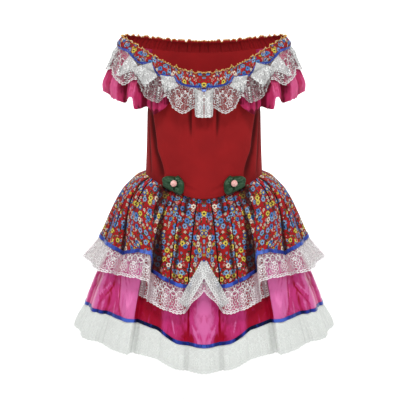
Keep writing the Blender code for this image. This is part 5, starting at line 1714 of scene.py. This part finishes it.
def bow_height(degrees, share):
    """Puff of the loops from 0 to 1, with folds that run out from the pearl."""
    rim = math.sqrt(max(0.0, 1 - share ** 5))
    puff = rim * (0.5 + 0.4 * math.sin(math.pi * min(1, share * 0.9 + 0.12)))
    if (degrees - CRESCENT_START) % 360 < CRESCENT_TURN:
        puff += CRESCENT_RAISED * rim * min(1, max(0, share - 0.3) * 6)
    dent = sum(fold.deep * math.exp(-(((degrees - fold.degrees + 180) % 360 - 180)
                                      / fold.width) ** 2) for fold in BOW_DENTS)
    dent *= math.sin(math.pi * min(1, 0.15 + share * 0.8))
    return max(0.05, puff * (1 - 0.8 * min(1, dent)))


def bow_frame(side):
    """The point of the bodice that carries a bow, and its directions out, across and up."""
    at = np.array([BOW_DEGREES])
    point, out = bodice_surface(at, waist_height(at) + BOW_RAISED)
    facing = Vector((out[0, 0] * side, out[0, 1], math.tan(math.radians(BOW_TILT)))).normalized()
    across = Vector((0, 0, 1)).cross(facing).normalized()
    return point[0] * np.array([side, 1, 1]) * MM, facing, across, facing.cross(across)


def smooth_piece(name, part, mesh):
    """An object from a finished mesh, with smooth shading."""
    data = bpy.data.meshes.new(name)
    mesh.to_mesh(data)
    mesh.free()
    data.shade_smooth()
    return in_scene(f"{name}_{part}", data)


for name, side in (("bow_right", 1), ("bow_left", -1)):
    point, facing, across, up = bow_frame(side)
    solid = np.array([vertex.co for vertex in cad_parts[name].data.vertices])
    base = float((solid @ np.array(facing)).min())
    centre = Vector(point)
    centre = centre + facing * (base - centre.dot(facing))
    mesh = bmesh.new()
    hub = mesh.verts.new(centre + facing * (BOW_CLEAR + BOW_THICK * bow_height(0, 0.0)) * MM)
    rings = []
    for ring_number in range(1, BOW_RINGS + 1):
        share = ring_number / BOW_RINGS
        row = []
        for step in range(BOW_STEPS):
            degrees = 360 * step / BOW_STEPS
            reach = bow_reach(degrees) * share
            x = -side * reach * math.cos(math.radians(degrees))
            z = reach * math.sin(math.radians(degrees))
            lift = BOW_CLEAR + BOW_THICK * bow_height(degrees, share)
            row.append(mesh.verts.new(centre + (across * x + up * z + facing * lift) * MM))
        rings.append(row)
    rings.append([mesh.verts.new(vertex.co
                                 - facing * (facing.dot(vertex.co - centre) - BOW_BASE * MM))
                  for vertex in rings[-1]])
    for step in range(BOW_STEPS):
        after = (step + 1) % BOW_STEPS
        mesh.faces.new((hub, rings[0][step], rings[0][after]))
        for inner, outer in zip(rings, rings[1:]):
            mesh.faces.new((inner[step], outer[step], outer[after], inner[after]))
    mesh.faces.new(rings[-1])
    bmesh.ops.recalc_face_normals(mesh, faces=mesh.faces)
    uv = mesh.loops.layers.uv.new("cloth")
    for face in mesh.faces:
        for loop in face.loops:
            away = loop.vert.co - centre
            loop[uv].uv = (away.dot(across), away.dot(up))
    wear(smooth_piece(name, "loops", mesh), green_satin, "green_satin", [name])

# %% Pearls
BUD_SWIRL = 0.07
for name in ("bud_right", "bud_left"):
    low_corner, high_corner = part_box(name)
    middle, radius = (low_corner + high_corner) / 2, (high_corner - low_corner).x / 2
    mesh = bmesh.new()
    bmesh.ops.create_uvsphere(mesh, u_segments=48, v_segments=32, radius=1.0)
    for vertex in mesh.verts:
        x, y, z = vertex.co
        swirl = math.cos(3 * math.atan2(z, x) + 9 * math.acos(max(-1, min(1, -y))))
        vertex.co = middle + vertex.co * radius * (1 - BUD_SWIRL + BUD_SWIRL * swirl)
    wear(smooth_piece(name, "bead", mesh), bead_finish, "pink_bead", [name])

# %% [markdown]
# ## Studio
#
# The dress hangs at a child's height over a plain white floor that fills the picture. A soft
# light stands above and in front, as in a catalogue photo. Two weaker ones at the sides draw the
# folds, a wide one behind turns the floor white, and a white sky fills the rest. The camera
# looks slightly down through a long lens.

# %% Floor, lights and camera
Box = namedtuple("Box", "name place target width height power")
FLOOR_HEIGHT, FLOOR_SIZE = -1.08, 40.0
TARGET = Vector((0.0, 0.0, -0.345))
SOFTBOXES = table(
    Box, ("key_softbox", (0.0, -1.75, 1.75), TARGET, 0.8, 0.6, 36),
    ("side_softbox", (-1.9, -1.0, 1.1), TARGET, 0.6, 0.8, 14),
    ("side_softbox", (1.9, -1.0, 1.1), TARGET, 0.6, 0.8, 14),
    ("backdrop_softbox", (0.0, 8.0, 4.0), (0.0, 8.6, 0.0), 14.0, 12.0, 1250))
SKY = 0.26
DISTANCE, ELEVATION, SENSOR = 2.9, 14.0, 36.0
PIXEL_MM, PICTURE = 2.18, 400
LENS_SHIFT = (-0.01, 0.00875)


def aim(item, place, target):
    """Put a light or the camera at a place and turn it to its target."""
    item.location = place
    item.rotation_euler = (Vector(target) - item.location).to_track_quat("-Z", "Y").to_euler()


floor_mesh = bpy.data.meshes.new("floor")
floor_mesh.from_pydata([(x * FLOOR_SIZE / 2, y * FLOOR_SIZE / 2, FLOOR_HEIGHT)
                        for x, y in ((-1, -1), (1, -1), (1, 1), (-1, 1))], [], [(0, 1, 2, 3)])
floor = in_scene("floor", floor_mesh)
paper = bpy.data.materials.new("white_paper_floor")
paper.use_nodes = True
paper_shader = paper.node_tree.nodes["Principled BSDF"]
plug(paper_shader.inputs["Base Color"], linear("#ffffff"))
plug(paper_shader.inputs["Roughness"], 0.9)
floor_mesh.materials.append(paper)

for box in SOFTBOXES:
    lamp = bpy.data.lights.new(box.name, "AREA")
    lamp.shape = "RECTANGLE"
    lamp.size, lamp.size_y = box.width, box.height
    lamp.energy = box.power
    aim(in_scene(box.name, lamp), box.place, box.target)
world = bpy.data.worlds.new("studio")
bpy.context.scene.world = world
world.use_nodes = True
plug(world.node_tree.nodes["Background"].inputs["Color"], (1, 1, 1, 1))
plug(world.node_tree.nodes["Background"].inputs["Strength"], SKY)
bpy.context.scene.view_settings.view_transform = "Standard"

lens = bpy.data.cameras.new("camera")
lens.sensor_width = SENSOR
lens.lens = SENSOR * DISTANCE / (PIXEL_MM * PICTURE * MM)
lens.shift_x, lens.shift_y = LENS_SHIFT
camera = in_scene("camera", lens)
tilt = math.radians(ELEVATION)
aim(camera, TARGET + DISTANCE * Vector((0, -math.cos(tilt), math.sin(tilt))), TARGET)
bpy.context.scene.camera = camera
print("camera at", [round(v, 3) for v in camera.location], "lens", round(lens.lens, 1), "mm")

# %% Update the view layer
bpy.context.view_layer.update()
